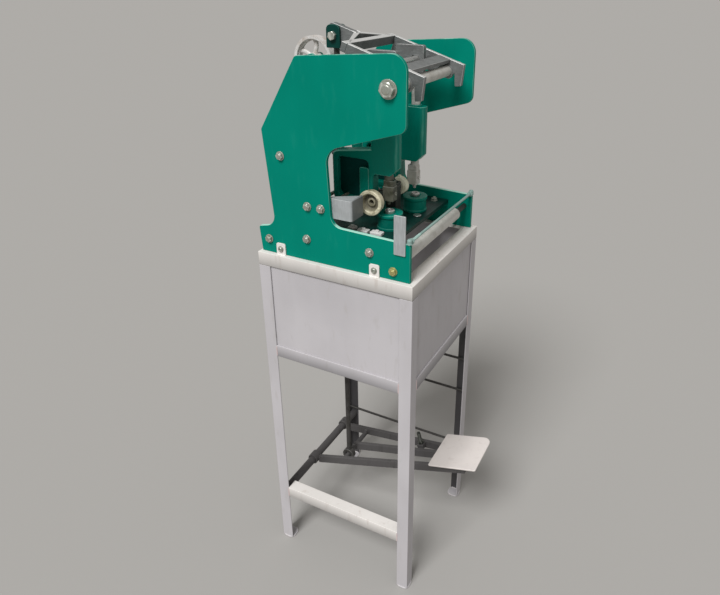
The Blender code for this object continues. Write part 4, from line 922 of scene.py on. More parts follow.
class SubAssembly:
    """Part of the machine, which turns its skins into pieces and reports them."""

    def piece(self, name: str, shells: Sequence[Shell], finish: Finish, body: Body,
              nodes: Sequence[str] = ()) -> bpy.types.Object:
        """Make one piece from closed skins.

        Args:
            name: The piece's name.
            shells: Its skins, in the world.
            finish: What it is painted or plated with.
            body: The body that it rides on.
            nodes: CAD nodes that it stands for.

        Returns:
            The new object.
        """
        starts = np.cumsum([0] + [shell.wear_and_highlight.size for shell in shells])
        points = np.concatenate([shell.points.reshape(-1, 3) for shell in shells])
        faces = [face for shell, start in zip(shells, starts) for face in shell.faces(int(start))]
        mesh = bpy.data.meshes.new(name)
        mesh.from_pydata(points.tolist(), [], faces)
        wear_and_highlight = np.concatenate([np.ascontiguousarray(shell.wear_and_highlight).ravel() for shell in shells])
        shade = np.concatenate([np.broadcast_to(shell.shade, shell.wear_and_highlight.shape).ravel()
                                for shell in shells])
        # edge tone for rubbed edges and painted highlights, and the share of painted shade
        for label, values in (("wear_and_highlight", wear_and_highlight), ("shade", shade)):
            stored = mesh.attributes.new(label, "FLOAT", "POINT")
            stored.data.foreach_set("value", values.astype(np.float32))
        work = bmesh.new()
        work.from_mesh(mesh)
        bmesh.ops.recalc_face_normals(work, faces=work.faces)
        work.to_mesh(mesh)
        work.free()
        mesh.materials.append(finish.material())
        mesh.shade_smooth()
        mesh.set_sharp_from_angle(angle=SHARP_ANGLE)
        thing = bpy.data.objects.new(name, mesh)
        bpy.context.scene.collection.objects.link(thing)
        even = thing.modifiers.new("even_normals", "WEIGHTED_NORMAL")
        even.keep_sharp = True
        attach(thing, body.value)
        if nodes:
            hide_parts(*nodes)
        log.info("%s: %d points on %s", name, len(points), body.value)
        return thing

    def keep(self, node: str, finish: Finish) -> None:
        """Give a CAD node that stays a finish of its own.

        Args:
            node: Name of the node.
            finish: What it is painted or plated with.
        """
        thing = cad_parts[node]
        thing.data.materials.clear()
        thing.data.materials.append(finish.material())
        log.info("%s: kept as built", node)


def span(node: str) -> tuple[Array, Array]:
    """Lowest and highest corner of a CAD node, as arrays."""
    low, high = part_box(node)
    return np.array(low), np.array(high)


def middle(node: str) -> Array:
    """Centre of a CAD node's box."""
    low, high = span(node)
    return (low + high) / 2


STAND_CENTRE_Y = float((span("leg_front_left")[0][1] + span("leg_rear_left")[1][1]) / 2)
TABLE_Z = float(span("top_rail_front")[1][2])
MACHINE = Place((0.0, STAND_CENTRE_Y, TABLE_Z))


class Side(Enum):
    """Side of the stand."""

    FRONT = "front"
    RIGHT = "right"
    REAR = "rear"
    LEFT = "left"

    def place(self, along: Array, out: Array, z: Array) -> Array:
        """Points from the distance along a side, out from the centre, and the height.

        Args:
            along: Distance along the side.
            out: Distance out from the centre.
            z: Height.

        Returns:
            Points in the world.
        """
        order = {Side.FRONT: (along, -out), Side.RIGHT: (out, along), Side.REAR: (-along, out),
                 Side.LEFT: (-out, -along)}[self]
        x, y, z = np.broadcast_arrays(order[0], order[1] + STAND_CENTRE_Y, z)
        return np.stack([x, y, z], axis=-1)


@dataclass
class Stand(SubAssembly):
    """Angle-iron stand: legs, rails, sheet panels, rungs, bars and their welds."""

    width: float = 0.350
    depth: float = 0.360
    flange: float = 0.028
    wall: float = 0.003
    top_flange: float = 0.030
    toe_radius: float = 0.0014
    root_radius: float = 0.0028
    sole_corner: float = 0.011
    sole_thickness: float = 0.004
    sole_edge: float = 0.0014
    sole_bead: float = 0.022
    sole_bead_radius: float = 0.0018
    rail_wear: float = 0.35
    # painted shade on the rails' outer side faces
    rail_shade: float = 0.56
    lug_places: Pair = (0.125, -0.094)
    lug_half: float = 0.011
    lug_height: float = 0.026
    lug_thickness: float = 0.003
    lug_corner: float = 0.0045
    lug_edge: float = 0.0006
    lug_bead_radius: float = 0.0017
    screw_level: float = 0.0135
    screw_radius: float = 0.0052
    screw_height: float = 0.0035
    socket_radius: float = 0.0024
    socket_depth: float = 0.0022
    washer_radius: float = 0.0066
    washer_height: float = 0.0009
    sheet: float = 0.0012
    bow: float = 0.0006
    ripple: float = 0.00012
    bar_play: float = 0.0005
    bar_sag: float = 0.0004
    rail_bead_radius: float = 0.0016

    def section(self, flange_in: float, flange_down: float) -> Array:
        """Rolled angle, as (distance in, height) pairs: sharp heel, rounded toes and a root fillet."""
        toe, wall = self.toe_radius, self.wall
        return rounded([(0, 0, toe / 2), (flange_in, 0, toe), (flange_in, -wall, toe),
                        (wall, -wall, self.root_radius), (wall, -flange_down, toe),
                        (0, -flange_down, toe)], 4)

    def lengths(self, side: Side) -> Pair:
        """Half length of a side and its distance from the centre."""
        ends = side in (Side.FRONT, Side.REAR)
        return (self.width / 2, self.depth / 2) if ends else (self.depth / 2, self.width / 2)

    def rail(self, side: Side, top: float, flange: float, reach: float, mitred: bool) -> Shell:
        """Rolled angle along a side; a mitred end is cut back by the distance in.

        Args:
            side: Side of the stand.
            top: Height of its top.
            flange: Width of both flanges.
            reach: Half of its length.
            mitred: Whether its ends are mitred.

        Returns:
            The rail's skin.
        """
        section = self.section(flange, flange)
        distance = self.lengths(side)[1]
        ends = np.array([-1.0, 1.0])[:, None]
        cut = section[:, 0] if mitred else 0 * section[:, 0]
        points = side.place(ends * (reach - cut), distance - section[:, 0], top + section[:, 1])
        worn = np.broadcast_to(self.rail_wear, points.shape[:2])
        # painted shade: side faces darkened by rail_shade, the inner face fully, the top face left pale
        below = section[:, 1] < -self.wall * 0.8
        inside = below & (section[:, 0] > self.wall * 0.8)
        dark = np.where(inside, 1.0, np.where(below, self.rail_shade, 0))
        return Shell(points, worn, shade=np.broadcast_to(dark, points.shape[:2]))

    def legs(self) -> None:
        """Four legs, each a rolled angle with a welded sole."""
        for name, x_side, y_side in (("front_left", -1, -1), ("front_right", 1, -1),
                                     ("rear_left", -1, 1), ("rear_right", 1, 1)):
            node = f"leg_{name}"
            low, high = span(node)
            corner_x = x_side * self.width / 2
            corner_y = STAND_CENTRE_Y + y_side * self.depth / 2
            section = self.section(self.flange, self.flange) * np.array([1, -1])
            outline = np.stack([corner_x - x_side * section[:, 0],
                                corner_y - y_side * section[:, 1]], axis=1)
            outline = outline[::-1] if x_side * y_side > 0 else outline
            post = prism(outline, Axis.Z, low[2] + self.sole_thickness - 0.001, high[2], EDGE / 2)
            # painted shade on the inner faces of each leg's angle
            inner_x = x_side * (corner_x - post.points[..., 0]) > self.wall * 0.8
            inner_y = y_side * (corner_y - post.points[..., 1]) > self.wall * 0.8
            post.shade = np.where(inner_x & inner_y, 1.0, 0.0)
            sole = prism(ring_box(low[0], high[0], low[1], high[1], self.sole_corner), Axis.Z, low[2],
                         low[2] + self.sole_thickness, self.sole_edge)
            heel = (corner_x - x_side * self.wall, corner_y - y_side * self.wall,
                    low[2] + self.sole_thickness + 0.0005)
            ends = ((heel[0] - x_side * self.sole_bead, heel[1], heel[2]),
                    (heel[0], heel[1] - y_side * self.sole_bead, heel[2]))
            beads = [weld_bead(heel, end, self.sole_bead_radius) for end in ends]
            self.piece(f"{node}_angle", [post, sole] + beads, GREY, Body.MACHINE, [node])

    def rails(self) -> None:
        """Mitred top rails with the clamping lugs, and the square mid rails."""
        for side in Side:
            half, _ = self.lengths(side)
            node = f"top_rail_{side.value}"
            shells = [self.rail(side, TABLE_Z, self.top_flange, half - GAP, True)]
            if side in (Side.LEFT, Side.RIGHT):
                shells += self.lugs(side)
            self.piece(f"{node}_angle", shells, LIT_RAIL_GREY, Body.MACHINE, [node])
            node = f"mid_rail_{side.value}"
            top = float(span(node)[1][2])
            mid = self.rail(side, top, self.flange, half - self.flange - GAP, False)
            self.piece(f"{node}_angle", [mid], GREY, Body.MACHINE, [node])

    def lugs(self, side: Side) -> list[Shell]:
        """Two round-shouldered lugs on a side rail, with a bead along each foot.

        Args:
            side: Side of the stand.

        Returns:
            Skins of the lugs and their beads.
        """
        way = -1 if side is Side.LEFT else 1
        plate = span(f"side_plate_{side.value}")
        inner = way * (abs(plate[0 if way < 0 else 1][0]) + GAP)
        outer = inner + way * self.lug_thickness
        low, high = TABLE_Z - 0.0005, TABLE_Z + self.lug_height
        shells = []
        for centre in self.lug_centres():
            front, rear = centre - self.lug_half, centre + self.lug_half
            outline = rounded([(front, low, 0), (rear, low, 0), (rear, high, self.lug_corner),
                               (front, high, self.lug_corner)])
            shells.append(prism(outline, Axis.X, *sorted((inner, outer)), self.lug_edge))
            foot = outer + way * 0.0002
            shells.append(weld_bead((foot, front, TABLE_Z), (foot, rear, TABLE_Z),
                                    self.lug_bead_radius))
        return shells

    def lug_centres(self) -> Pair:
        """Places of the rear and the front lug from front to back."""
        rear, front = self.lug_places
        return STAND_CENTRE_Y + rear, STAND_CENTRE_Y + front

    def lug_screws(self) -> None:
        """Socket-headed screws that clamp the side plates, each on a small washer."""
        for side, way in ((Side.LEFT, -1), (Side.RIGHT, 1)):
            plate = abs(float(span(f"side_plate_{side.value}")[0 if way < 0 else 1][0]))
            face = plate + self.lug_thickness + GAP
            height = TABLE_Z + self.screw_level
            base = face + self.washer_height
            tip = base + self.screw_height
            floor = tip - self.socket_depth
            profile = eased([(way * floor, 0.0004), (way * floor, self.socket_radius - 0.0002),
                             (way * tip, self.socket_radius), (way * tip, self.screw_radius - 0.0012),
                             (way * (tip - 0.0014), self.screw_radius),
                             (way * base, self.screw_radius)], 0.0004)
            shells = []
            for centre in self.lug_centres():
                shells.append(disc(Axis.X, centre, height, self.washer_radius,
                                   *sorted((way * face, way * base)), 0.0003))
                shells.append(turned(profile, Axis.X, centre, height, 36))
            self.piece(f"lug_screws_{side.value}", shells, ZINC, Body.MACHINE)

    def panels(self) -> None:
        """Sheet panels: both faces bow in by a product of sines with a faint ripple."""
        for side in (Side.FRONT, Side.LEFT, Side.RIGHT):
            node = f"panel_{side.value}"
            low, high = span(node)
            half, distance = self.lengths(side)
            reach = float(max(high[0] - low[0], high[1] - low[1])) / 2
            outer = distance - self.wall - GAP
            u = np.linspace(-1, 1, 41)
            v = np.linspace(0, 1, 25)[:, None]
            dip = self.bow * np.cos(math.pi * u / 2) * np.sin(math.pi * v)
            ripple = self.ripple * np.cos(5.3 * u + 3 * v) * np.sin(4 * math.pi * v) * (1 - u ** 2)
            face = outer - dip - np.abs(ripple)
            around = np.concatenate([face, face[:, ::-1] - self.sheet], axis=1)
            along = np.concatenate([u, u[::-1]]) * reach
            height = low[2] + (high[2] - low[2]) * v
            points = side.place(along[None], around, height)
            shell = Shell(points, np.zeros(points.shape[:2]))
            self.piece(f"{node}_sheet", [shell], GREY, Body.MACHINE, [node])

    def rungs(self) -> None:
        """Left rung of angle iron, the round bars of the right side and the pedal's shaft."""
        node = "low_rung_left"
        top = float(span(node)[1][2])
        # the left rung takes the paler rail grey as painted light
        rung = self.rail(Side.LEFT, top, self.flange, self.depth / 2 - self.flange - GAP, False)
        self.piece("low_rung_left_angle", [rung], LIT_RAIL_GREY, Body.MACHINE, [node])
        for node in ("low_bar_right", "side_bar_lower", "side_bar_upper"):
            low, high = span(node)
            centre = middle(node)
            share = np.linspace(0, 1, 60)
            path = np.stack([np.full(60, centre[0]), low[1] + (high[1] - low[1]) * share,
                             centre[2] - self.bar_sag * np.sin(math.pi * share)], axis=1)
            bar = tube(path, (high[2] - low[2]) / 2 - self.bar_play, 20)
            self.piece(f"{node}_rod", [bar], ROD_STEEL, Body.MACHINE, [node])
        node = "pedal_shaft"
        low, high = span(node)
        centre = middle(node)
        radius = (high[2] - low[2]) / 2
        shaft = disc(Axis.X, centre[1], centre[2], radius, low[0], high[0], 0.001)
        self.piece("pedal_shaft_bar", [shaft], SHADY_GREY, Body.MACHINE, [node])

    def welds(self) -> None:
        """Beads where the rails and rungs meet the legs, in paint with its primer showing through."""
        shells = []
        for x_side in (-1, 1):
            for y_side in (-1, 1):
                leg_x = x_side * (self.width / 2 - self.flange)
                leg_y = STAND_CENTRE_Y + y_side * (self.depth / 2 - self.flange)
                face_x = x_side * (self.width / 2 - 0.0004)
                face_y = STAND_CENTRE_Y + y_side * (self.depth / 2 - 0.0004)
                tops = [float(span("mid_rail_left")[1][2])]
                if x_side < 0:
                    tops.append(float(span("low_rung_left")[1][2]))
                joints = [(face_x, leg_y, top) for top in tops] + [(leg_x, face_y, tops[0])]
                for x, y, top in joints:
                    shells.append(weld_bead((x, y, top - 0.001), (x, y, top - self.flange),
                                            self.rail_bead_radius))
        self.piece("stand_welds", shells, WELD_GREY, Body.MACHINE)

    def build(self) -> None:
        """Build the whole stand."""
        self.legs()
        self.rails()
        self.lug_screws()
        self.panels()
        self.rungs()
        self.welds()


@dataclass
class ThroughBolt(SubAssembly):
    """Bolt through both side plates: a washer and a hexagon on each, a domed head on the left and the
    thread's end on the right."""

    node: str
    finish: Finish
    corner: float
    washer: float
    washer_height: float
    turn: float
    shank_share: float = 0.52
    dome_share: float = 0.62

    def build(self) -> None:
        """Build the bolt on the line of its CAD node."""
        low, high = span(self.node)
        centre = middle(self.node)
        y, z = float(centre[1]), float(centre[2])
        plate = abs(float(span("side_plate_left")[0][0])) + GAP
        shank = self.corner * self.shank_share
        shells = [disc(Axis.X, y, z, shank, -plate - 0.001, plate + 0.001)]
        seat = plate + self.washer_height
        tip = float(high[0])
        for way in (-1, 1):
            faces = sorted((way * plate, way * seat))
            shells.append(disc(Axis.X, y, z, self.washer, *faces, 0.0005))
            shells.append(hexagon(Axis.X, y, z, self.corner, way * (seat - 0.0002),
                                  way * (tip - 0.0008), self.turn + 0.25 * way))
        cap = self.dome_share * self.corner
        face = tip - 0.0010
        dome = eased([(-face, cap), (-tip, cap * 0.8), (-tip, 0.0004)], 0.0002)
        shells.append(turned(dome, Axis.X, y, z, 40))
        shells.append(thread(Axis.X, y, z, shank, plate, tip))
        self.piece(f"{self.node}_set", shells, self.finish, Body.MACHINE, [self.node])


@dataclass
class MachineFrame(SubAssembly):
    """Green side plates, the bolts that tie them, the bed and the bars and brackets at the front."""

    plate_edge: float = 0.0011
    jaw_level: float = 0.12
    foot_rear: float = 0.1745
    heel: Corner = (0.1795, 0.055, 0.006)
    waist: Corner = (0.137, 0.064, 0.034)
    back: Corner = (0.154, 0.260, 0.008)
    crown: Corner = (0.0665, 0.401, 0.010)
    nose_top: Corner = (-0.157, 0.4185, 0.029)
    nose_bottom: Corner = (-0.157, 0.287, 0.018)
    throat_top: Corner = (0.009, 0.235, 0.036)
    throat_floor: Corner = (0.002, 0.085, 0.024)
    jaw: Corner = (-0.169, 0.080, 0.006)
    bracket_corner: float = 0.0016
    bracket_drop: float = 0.005
    # painted shade on the bend's front-facing leg and, lightly, on the gusset
    bracket_shade: float = 0.62
    gusset_shade: float = 0.12
    tie_names: tuple[str, ...] = ("back", "head_rear", "head_front", "bed_rear", "bed_front", "heel",
                                  "toe")
    bed_bolt_x: float = 0.135
    bed_bolt_places: Triple = (-0.086, -0.018, 0.062)
    bed_bolt_corner: float = 0.0068
    bed_bolt_shank: float = 0.0034
    bed_washer: float = 0.0078
    blocks: tuple[Triple, ...] = ((-0.103, -0.009, 0.016), (-0.108, -0.037, 0.024),
                                  (-0.106, -0.067, 0.026))
    block_width: float = 0.015
    block_height: float = 0.006
    block_screw: float = 0.0046
    button: Pair = (0.026, -0.094)
    button_radius: float = 0.0085
    pale_bolt: Pair = (-0.070, -0.1055)
    bar_step: float = 0.098
    spindle_radius: float = 0.006
    rod_setback: float = 0.0135
    rod_rest: float = 0.0833
    rod_radius: float = 0.0028
    rod_nut: float = 0.0062
    boss_radius: float = 0.0052
    bracket_thickness: float = 0.004

    def side_plates(self) -> None:
        """Two flame-cut plates with eased edges."""
        outline = rounded([(self.foot_rear, GAP, 0), self.heel, self.waist, self.back, self.crown,
                           self.nose_top, self.nose_bottom, self.throat_top, self.throat_floor,
                           self.jaw, (self.jaw[0], GAP, 0)], 10)
        for side in ("left", "right"):
            node = f"side_plate_{side}"
            low, high = span(node)
            plate = prism(outline, Axis.X, low[0], high[0], self.plate_edge)
            # painted highlight on the up-facing rims, strongest at the jaw
            plate.wear_and_highlight = self.highlighted_tops(plate)
            self.piece(f"{node}_enamelled", [plate.at(MACHINE)], GREEN, Body.MACHINE, [node])

    def highlighted_tops(self, plate: Shell) -> Array:
        """Painted highlight on a plate's rim where it faces up, strong at the jaw and fainter along the
        top; the rest keeps most of its rubbed edge.
        """
        upward = upward_highlight(plate) * np.where(plate.points[..., 2] < self.jaw_level, 1.3, 0.72)
        return np.maximum(0.8 * plate.wear_and_highlight, upward)

    def bolts(self) -> None:
        """Tie bolts and the large pivot bolt."""
        turns = np.random.default_rng(SEED).uniform(0, 1, len(self.tie_names))
        for name, turn in zip(self.tie_names, turns):
            finish = YELLOW if name == "toe" else ZINC
            ThroughBolt(f"tie_rod_{name}", finish, corner=0.0075, washer=0.009, washer_height=0.0016,
                        turn=float(turn)).build()
        ThroughBolt("pivot_bolt", ZINC, corner=0.0145, washer=0.017, washer_height=0.0025,
                    turn=0.42).build()

    def bed(self) -> None:
        """Bed plate, kept as built, with its bolts, the blocks that guide the work and two buttons."""
        self.keep("bed_plate", BED_STEEL)
        top = float(span("bed_plate")[1][2])
        shells = []
        for x in (-self.bed_bolt_x, self.bed_bolt_x):
            for y in self.bed_bolt_places:
                along = STAND_CENTRE_Y + y
                shells += [disc(Axis.Z, x, along, self.bed_washer, top + 0.0001, top + 0.0013, 0.0003),
                           hexagon(Axis.Z, x, along, self.bed_bolt_corner, top + 0.0012, top + 0.0062,
                                   0.4),
                           thread(Axis.Z, x, along, self.bed_bolt_shank, top + 0.004, top + 0.0095,
                                  0.001)]
        self.piece("bed_bolts", shells, ZINC, Body.MACHINE)
        self.blocks_and_buttons(top)

    def blocks_and_buttons(self, top: float) -> None:
        """Small pieces on the bed: screwed blocks on the left, a flat button and a domed bolt.

        Args:
            top: Height of the top face.
        """
        blocks = []
        for x, y, length in self.blocks:
            along = STAND_CENTRE_Y + y
            half = self.block_width / 2
            plan = ring_box(x - half, x + half, along - length / 2, along + length / 2, 0.002)
            crest = top + self.block_height
            blocks.append(prism(plan, Axis.Z, top + 0.0002, crest, 0.0009))
            blocks.append(hexagon(Axis.Z, x, along, self.block_screw, crest - 0.0002, crest + 0.0032,
                                  8 * length))
        self.piece("work_guide_blocks", blocks, PALE_STEEL, Body.MACHINE)
        x, y = self.button
        button = disc(Axis.Z, x, STAND_CENTRE_Y + y, self.button_radius, top + 0.0002, top + 0.0032,
                      0.0012)
        x, y = self.pale_bolt
        along = STAND_CENTRE_Y + y
        collar = disc(Axis.Z, x, along, 0.0056, top + 0.0002, top + 0.0014, 0.0004)
        cap = turned(eased([(top + 0.0012, 0.0046), (top + 0.0052, 0.0046), (top + 0.0070, 0.0028),
                            (top + 0.0074, 0.0004)], 0.0012), Axis.Z, x, along, 32)
        self.piece("bed_buttons", [button, collar, cap], GROUND, Body.MACHINE)

    def tie_bar(self) -> None:
        """Front tie bar with a step and a thinner spindle at its right end."""
        node = "front_tie_bar"
        low, high = span(node)
        centre = middle(node)
        radius = (high[2] - low[2]) / 2
        bar = disc(Axis.X, centre[1], centre[2], radius, low[0], self.bar_step, 0.0022, 64)
        self.piece("front_tie_bar_turned", [bar], SHAFTING, Body.MACHINE, [node])
        spindle = disc(Axis.X, centre[1], centre[2], self.spindle_radius, self.bar_step - 0.002,
                       high[0], 0.0005, 40)
        self.piece("front_tie_bar_spindle", [spindle], DARK, Body.MACHINE)

    def gauge_rod(self) -> None:
        """Work-gauge rod that lies on the side plates' tops, with its nuts, thread and bosses."""
        plate = middle("side_plate_right")[0]
        y = float(middle("front_tie_bar")[1]) - self.rod_setback
        z = TABLE_Z + self.rod_rest
        rod = disc(Axis.X, y, z, self.rod_radius, -plate - 0.004, plate + 0.004, 0.0008, 24)
        screwed = thread(Axis.X, y, z, self.rod_radius + 0.0003, -plate + 0.009, -plate + 0.045, 0.0008)
        shells = [rod, screwed]
        for way in (-1, 1):
            x = way * plate
            shells.append(hexagon(Axis.X, y, z, self.rod_nut, x - way * 0.0045, x - way * 0.0105, 0.2))
            boss = eased([(z - self.rod_radius, self.boss_radius + 0.0008),
                          (z - self.rod_radius + 0.0012, self.boss_radius),
                          (z + 0.0046, self.boss_radius), (z + 0.0070, 0.0032),
                          (z + 0.0074, 0.0004)], 0.0014)
            shells.append(turned(boss, Axis.Z, x, y, 36))
        self.piece("gauge_rod_set", shells, PALE_GREEN, Body.MACHINE, ["gauge_rod"])

    def brackets(self) -> None:
        """Flat stop bracket at the front, and the throat bracket bent from strip with its gusset."""
        node = "stop_bracket"
        low, high = span(node)
        outline = ring_box(low[1], high[1], low[2], high[2], self.bracket_corner)
        self.piece("stop_bracket_strip", [prism(outline, Axis.X, low[0], high[0], 0.0006)], STRIP,
                   Body.MACHINE, [node])

        node = "throat_bracket"
        low, high = span(node)
        thick = self.bracket_thickness
        bend = rounded([(low[0], low[1], 0.005), (high[0], low[1], 0.001),
                        (high[0], low[1] + thick, 0.001), (low[0] + thick, low[1] + thick, 0.0015),
                        (low[0] + thick, high[1], 0.001), (low[0], high[1], 0.001)])
        top = high[2] - self.bracket_drop
        gusset = rounded([(low[0] + 0.001, low[1] + 0.001, 0.003),
                          (high[0] - 0.001, low[1] + 0.001, 0.001),
                          (low[0] + 0.001, high[1] - 0.001, 0.001)])
        shells = [prism(bend, Axis.Z, low[2], top, 0.0005),
                  prism(gusset, Axis.Z, top - 0.004, top - 0.0006, 0.0004)]
        # painted shade that grows away from the bracket's left face
        for shell, dark in zip(shells, (self.bracket_shade, self.gusset_shade)):
            reach = np.clip((shell.points[..., 0] - low[0] - 0.001) / 0.004, 0, 1)
            shell.shade = dark * reach
        self.piece("throat_bracket_angle", shells, STRIP, Body.MACHINE, [node])

    def build(self) -> None:
        """Build the machine's frame."""
        self.side_plates()
        self.bolts()
        self.bed()
        self.tie_bar()
        self.gauge_rod()
        self.brackets()


@dataclass
class EyeletHead(SubAssembly):
    """Casting with a window, whose front guide holds a ram."""

    side: str
    half_width: float = 0.0138
    guide_root: float = 0.012
    rear: float = 0.053
    bottom: float = 0.104
    top: float = 0.210
    shoulder: float = -0.048
    front_wall: float = -0.040
    guide_top: float = 0.288
    guide_front: float = -0.094
    guide_bottom: float = 0.173
    guide_corner: float = 0.011
    chamfer_y: float = -0.078
    window: tuple[float, float, float, float] = (-0.030, 0.0405, 0.118, 0.199)
    window_corner: float = 0.010
    web_half: float = 0.003
    post: tuple[float, float, float, float] = (-0.030, -0.009, 0.117, 0.183)
    post_depth: float = 0.002
    corner_highlight: float = 0.80
    soft_edge: float = 0.004
    bore: float = 0.0093
    boss_radius: float = 0.0128
    boss_rise: float = 0.0035
    web_lap: float = 0.002
    ram_y: float = -0.070

    def build(self) -> None:
        """Build the casting with its pocket, and the bored guide with its cut-away nose."""
        node = f"eyelet_head_{self.side}"
        low, high = span(node)
        x = float(low[0] + high[0]) / 2
        outline = rounded([(self.rear, self.bottom, 0.012), (self.rear, self.top, 0.014),
                           (self.shoulder, self.top + 0.014, 0.006),
                           (self.shoulder, self.guide_bottom + 0.003, 0.004),
                           (self.front_wall, self.guide_bottom - 0.007, 0.006),
                           (self.front_wall, self.bottom, 0.008)], 8)
        front, rear, sill, lintel = self.window
        hole = ring_box(front, rear, sill, lintel, self.window_corner)
        centre = ((front + rear) / 2, (sill + lintel) / 2)
        body = ringed(outline, hole, centre, Axis.X, low[0], high[0], self.soft_edge, 240)
        # painted highlight along the body's top edge; its other edges get half their rubbing
        body.wear_and_highlight = body.wear_and_highlight * np.where(body.points[..., 2] > self.top - 0.006, 1.6, 0.5)
        root = self.shoulder + self.guide_root
        walls = rounded([(x - self.half_width, root, 0.003),
                         (x - self.half_width, self.guide_front, self.guide_corner),
                         (x + self.half_width, self.guide_front, self.guide_corner),
                         (x + self.half_width, root, 0.003)], 8)
        angle = np.arange(64) * math.tau / 64
        bore = np.stack([x + self.bore * np.cos(angle), self.ram_y + self.bore * np.sin(angle)], axis=1)
        guide = ringed(walls, bore, (x, self.ram_y), Axis.Z, self.guide_bottom, self.guide_top, 0.0015)
        # painted highlight down the guide's front corner
        corner = np.hypot(guide.points[..., 0] - (x - self.half_width),
                          guide.points[..., 1] - self.guide_front) / self.guide_corner
        guide.wear_and_highlight = np.maximum(guide.wear_and_highlight, self.corner_highlight * np.clip(1.22 - corner, 0, 1))
        cut = self.guide_bottom + np.maximum(0, self.chamfer_y - guide.points[..., 1])
        guide.points[..., 2] = np.maximum(guide.points[..., 2], cut)
        boss = sleeve(Axis.Z, x, self.ram_y, self.boss_radius, self.bore, self.guide_top - 0.004,
                      self.guide_top + self.boss_rise, 0.0012)
        shells = [shell.at(MACHINE) for shell in (body, guide, boss)]
        self.piece(f"{node}_casting", shells, DEEP_GREEN, Body.MACHINE, [node])
        self.pocket(x, low)

    def pocket(self, x: float, low: Array) -> None:
        """Thin web that closes the pocket, dark green as painted shade, and the cored boss that stands
        in front of it.

        Args:
            x: Middle of the casting.
            low: Lowest corner of the CAD node.
        """
        front, rear, sill, lintel = self.window
        lap = self.web_lap
        plan = ring_box(front - lap, rear + lap, sill - lap, lintel + lap, self.window_corner)
        web = prism(plan, Axis.X, x - self.web_half, x + self.web_half, 0.0005).at(MACHINE)
        # the web's dark green is painted shade in the pocket
        self.piece(f"head_web_{self.side}", [web], SHADOW_GREEN, Body.MACHINE)
        post_front, post_rear, foot, crown = self.post
        post = prism(ring_box(post_front, post_rear, foot, crown, 0.004), Axis.X,
                     low[0] + self.post_depth, x, 0.0018).at(MACHINE)
        self.piece(f"head_boss_{self.side}", [post], DEEP_GREEN, Body.MACHINE)


@dataclass
class Ram(SubAssembly):
    """Slotted head plate, ground shank and stepped punch holder."""

    side: str
    body: Body
    finish: Finish
    y: float = -0.070
    pin_z: float = 0.380
    pin_radius: float = 0.008
    slot_play: float = 0.0042
    plate_half: float = 0.006
    plate: tuple[float, float, float, float] = (-0.017, 0.044, 0.352, 0.408)
    radius: float = 0.009
    collar_rise: float = 0.0012
    holder: tuple[float, float, float, float] = (0.120, 0.150, 0.162, 0.1105)
    holder_half: float = 0.010
    upper_half: float = 0.0085
    grub_corner: float = 0.0042
    holder_front: float = -0.014
    holder_rear: float = 0.010
    holder_shift: float = 0.0

    def build(self) -> None:
        """Build the ram in the frame of its own axis."""
        node = f"ram_{self.side}"
        x = float(middle(node)[0])
        place = Place((x, STAND_CENTRE_Y + self.y, TABLE_Z))
        front, rear, low, high = self.plate
        outline = ring_box(front, rear, low, high, 0.004)
        reach = self.pin_radius + GAP
        slot_end = self.slot_play + reach
        slot = rounded([(-reach, self.pin_z - reach, reach), (slot_end, self.pin_z - reach, reach),
                        (slot_end, self.pin_z + reach, reach), (-reach, self.pin_z + reach, reach)], 10)
        head = ringed(outline, slot, (self.slot_play / 2, self.pin_z), Axis.X, -self.plate_half,
                      self.plate_half, 0.0007)
        bottom, step, top, tip = self.holder
        shank = disc(Axis.Z, 0, 0, self.radius, top - 0.001, low + 0.001, 0.0008)
        collar = disc(Axis.Z, 0, 0, self.radius + self.collar_rise, low - 0.010, low - 0.002, 0.0008)
        nose = self.holder_front + self.holder_shift
        heel = self.holder_rear + self.holder_shift
        plan = ring_box(-self.upper_half, self.upper_half, nose + 0.001, heel - 0.001, 0.0030)
        upper = prism(plan, Axis.Z, step - 0.001, top, 0.0008)
        plan = ring_box(-self.holder_half, self.holder_half, nose, heel, 0.0025)
        lower = prism(plan, Axis.Z, bottom, step, 0.0010)
        punch = turned(eased([(bottom + 0.001, 0.005), (bottom - 0.003, 0.005), (tip + 0.004, 0.0034),
                              (tip, 0.0030), (tip, 0.0004)], 0.0006), Axis.Z, 0, 0, 36)
        grub = hexagon(Axis.Y, 0, (bottom + step) / 2, self.grub_corner, nose + 0.0004, nose - 0.0028,
                       0.1)
        shells = [shell.at(place) for shell in (shank, collar, upper, lower, punch, grub)]
        self.piece(f"{node}_shank", shells, self.finish, self.body, [node])
        self.piece(f"{node}_head_plate", [head.at(place)], STEEL, self.body)


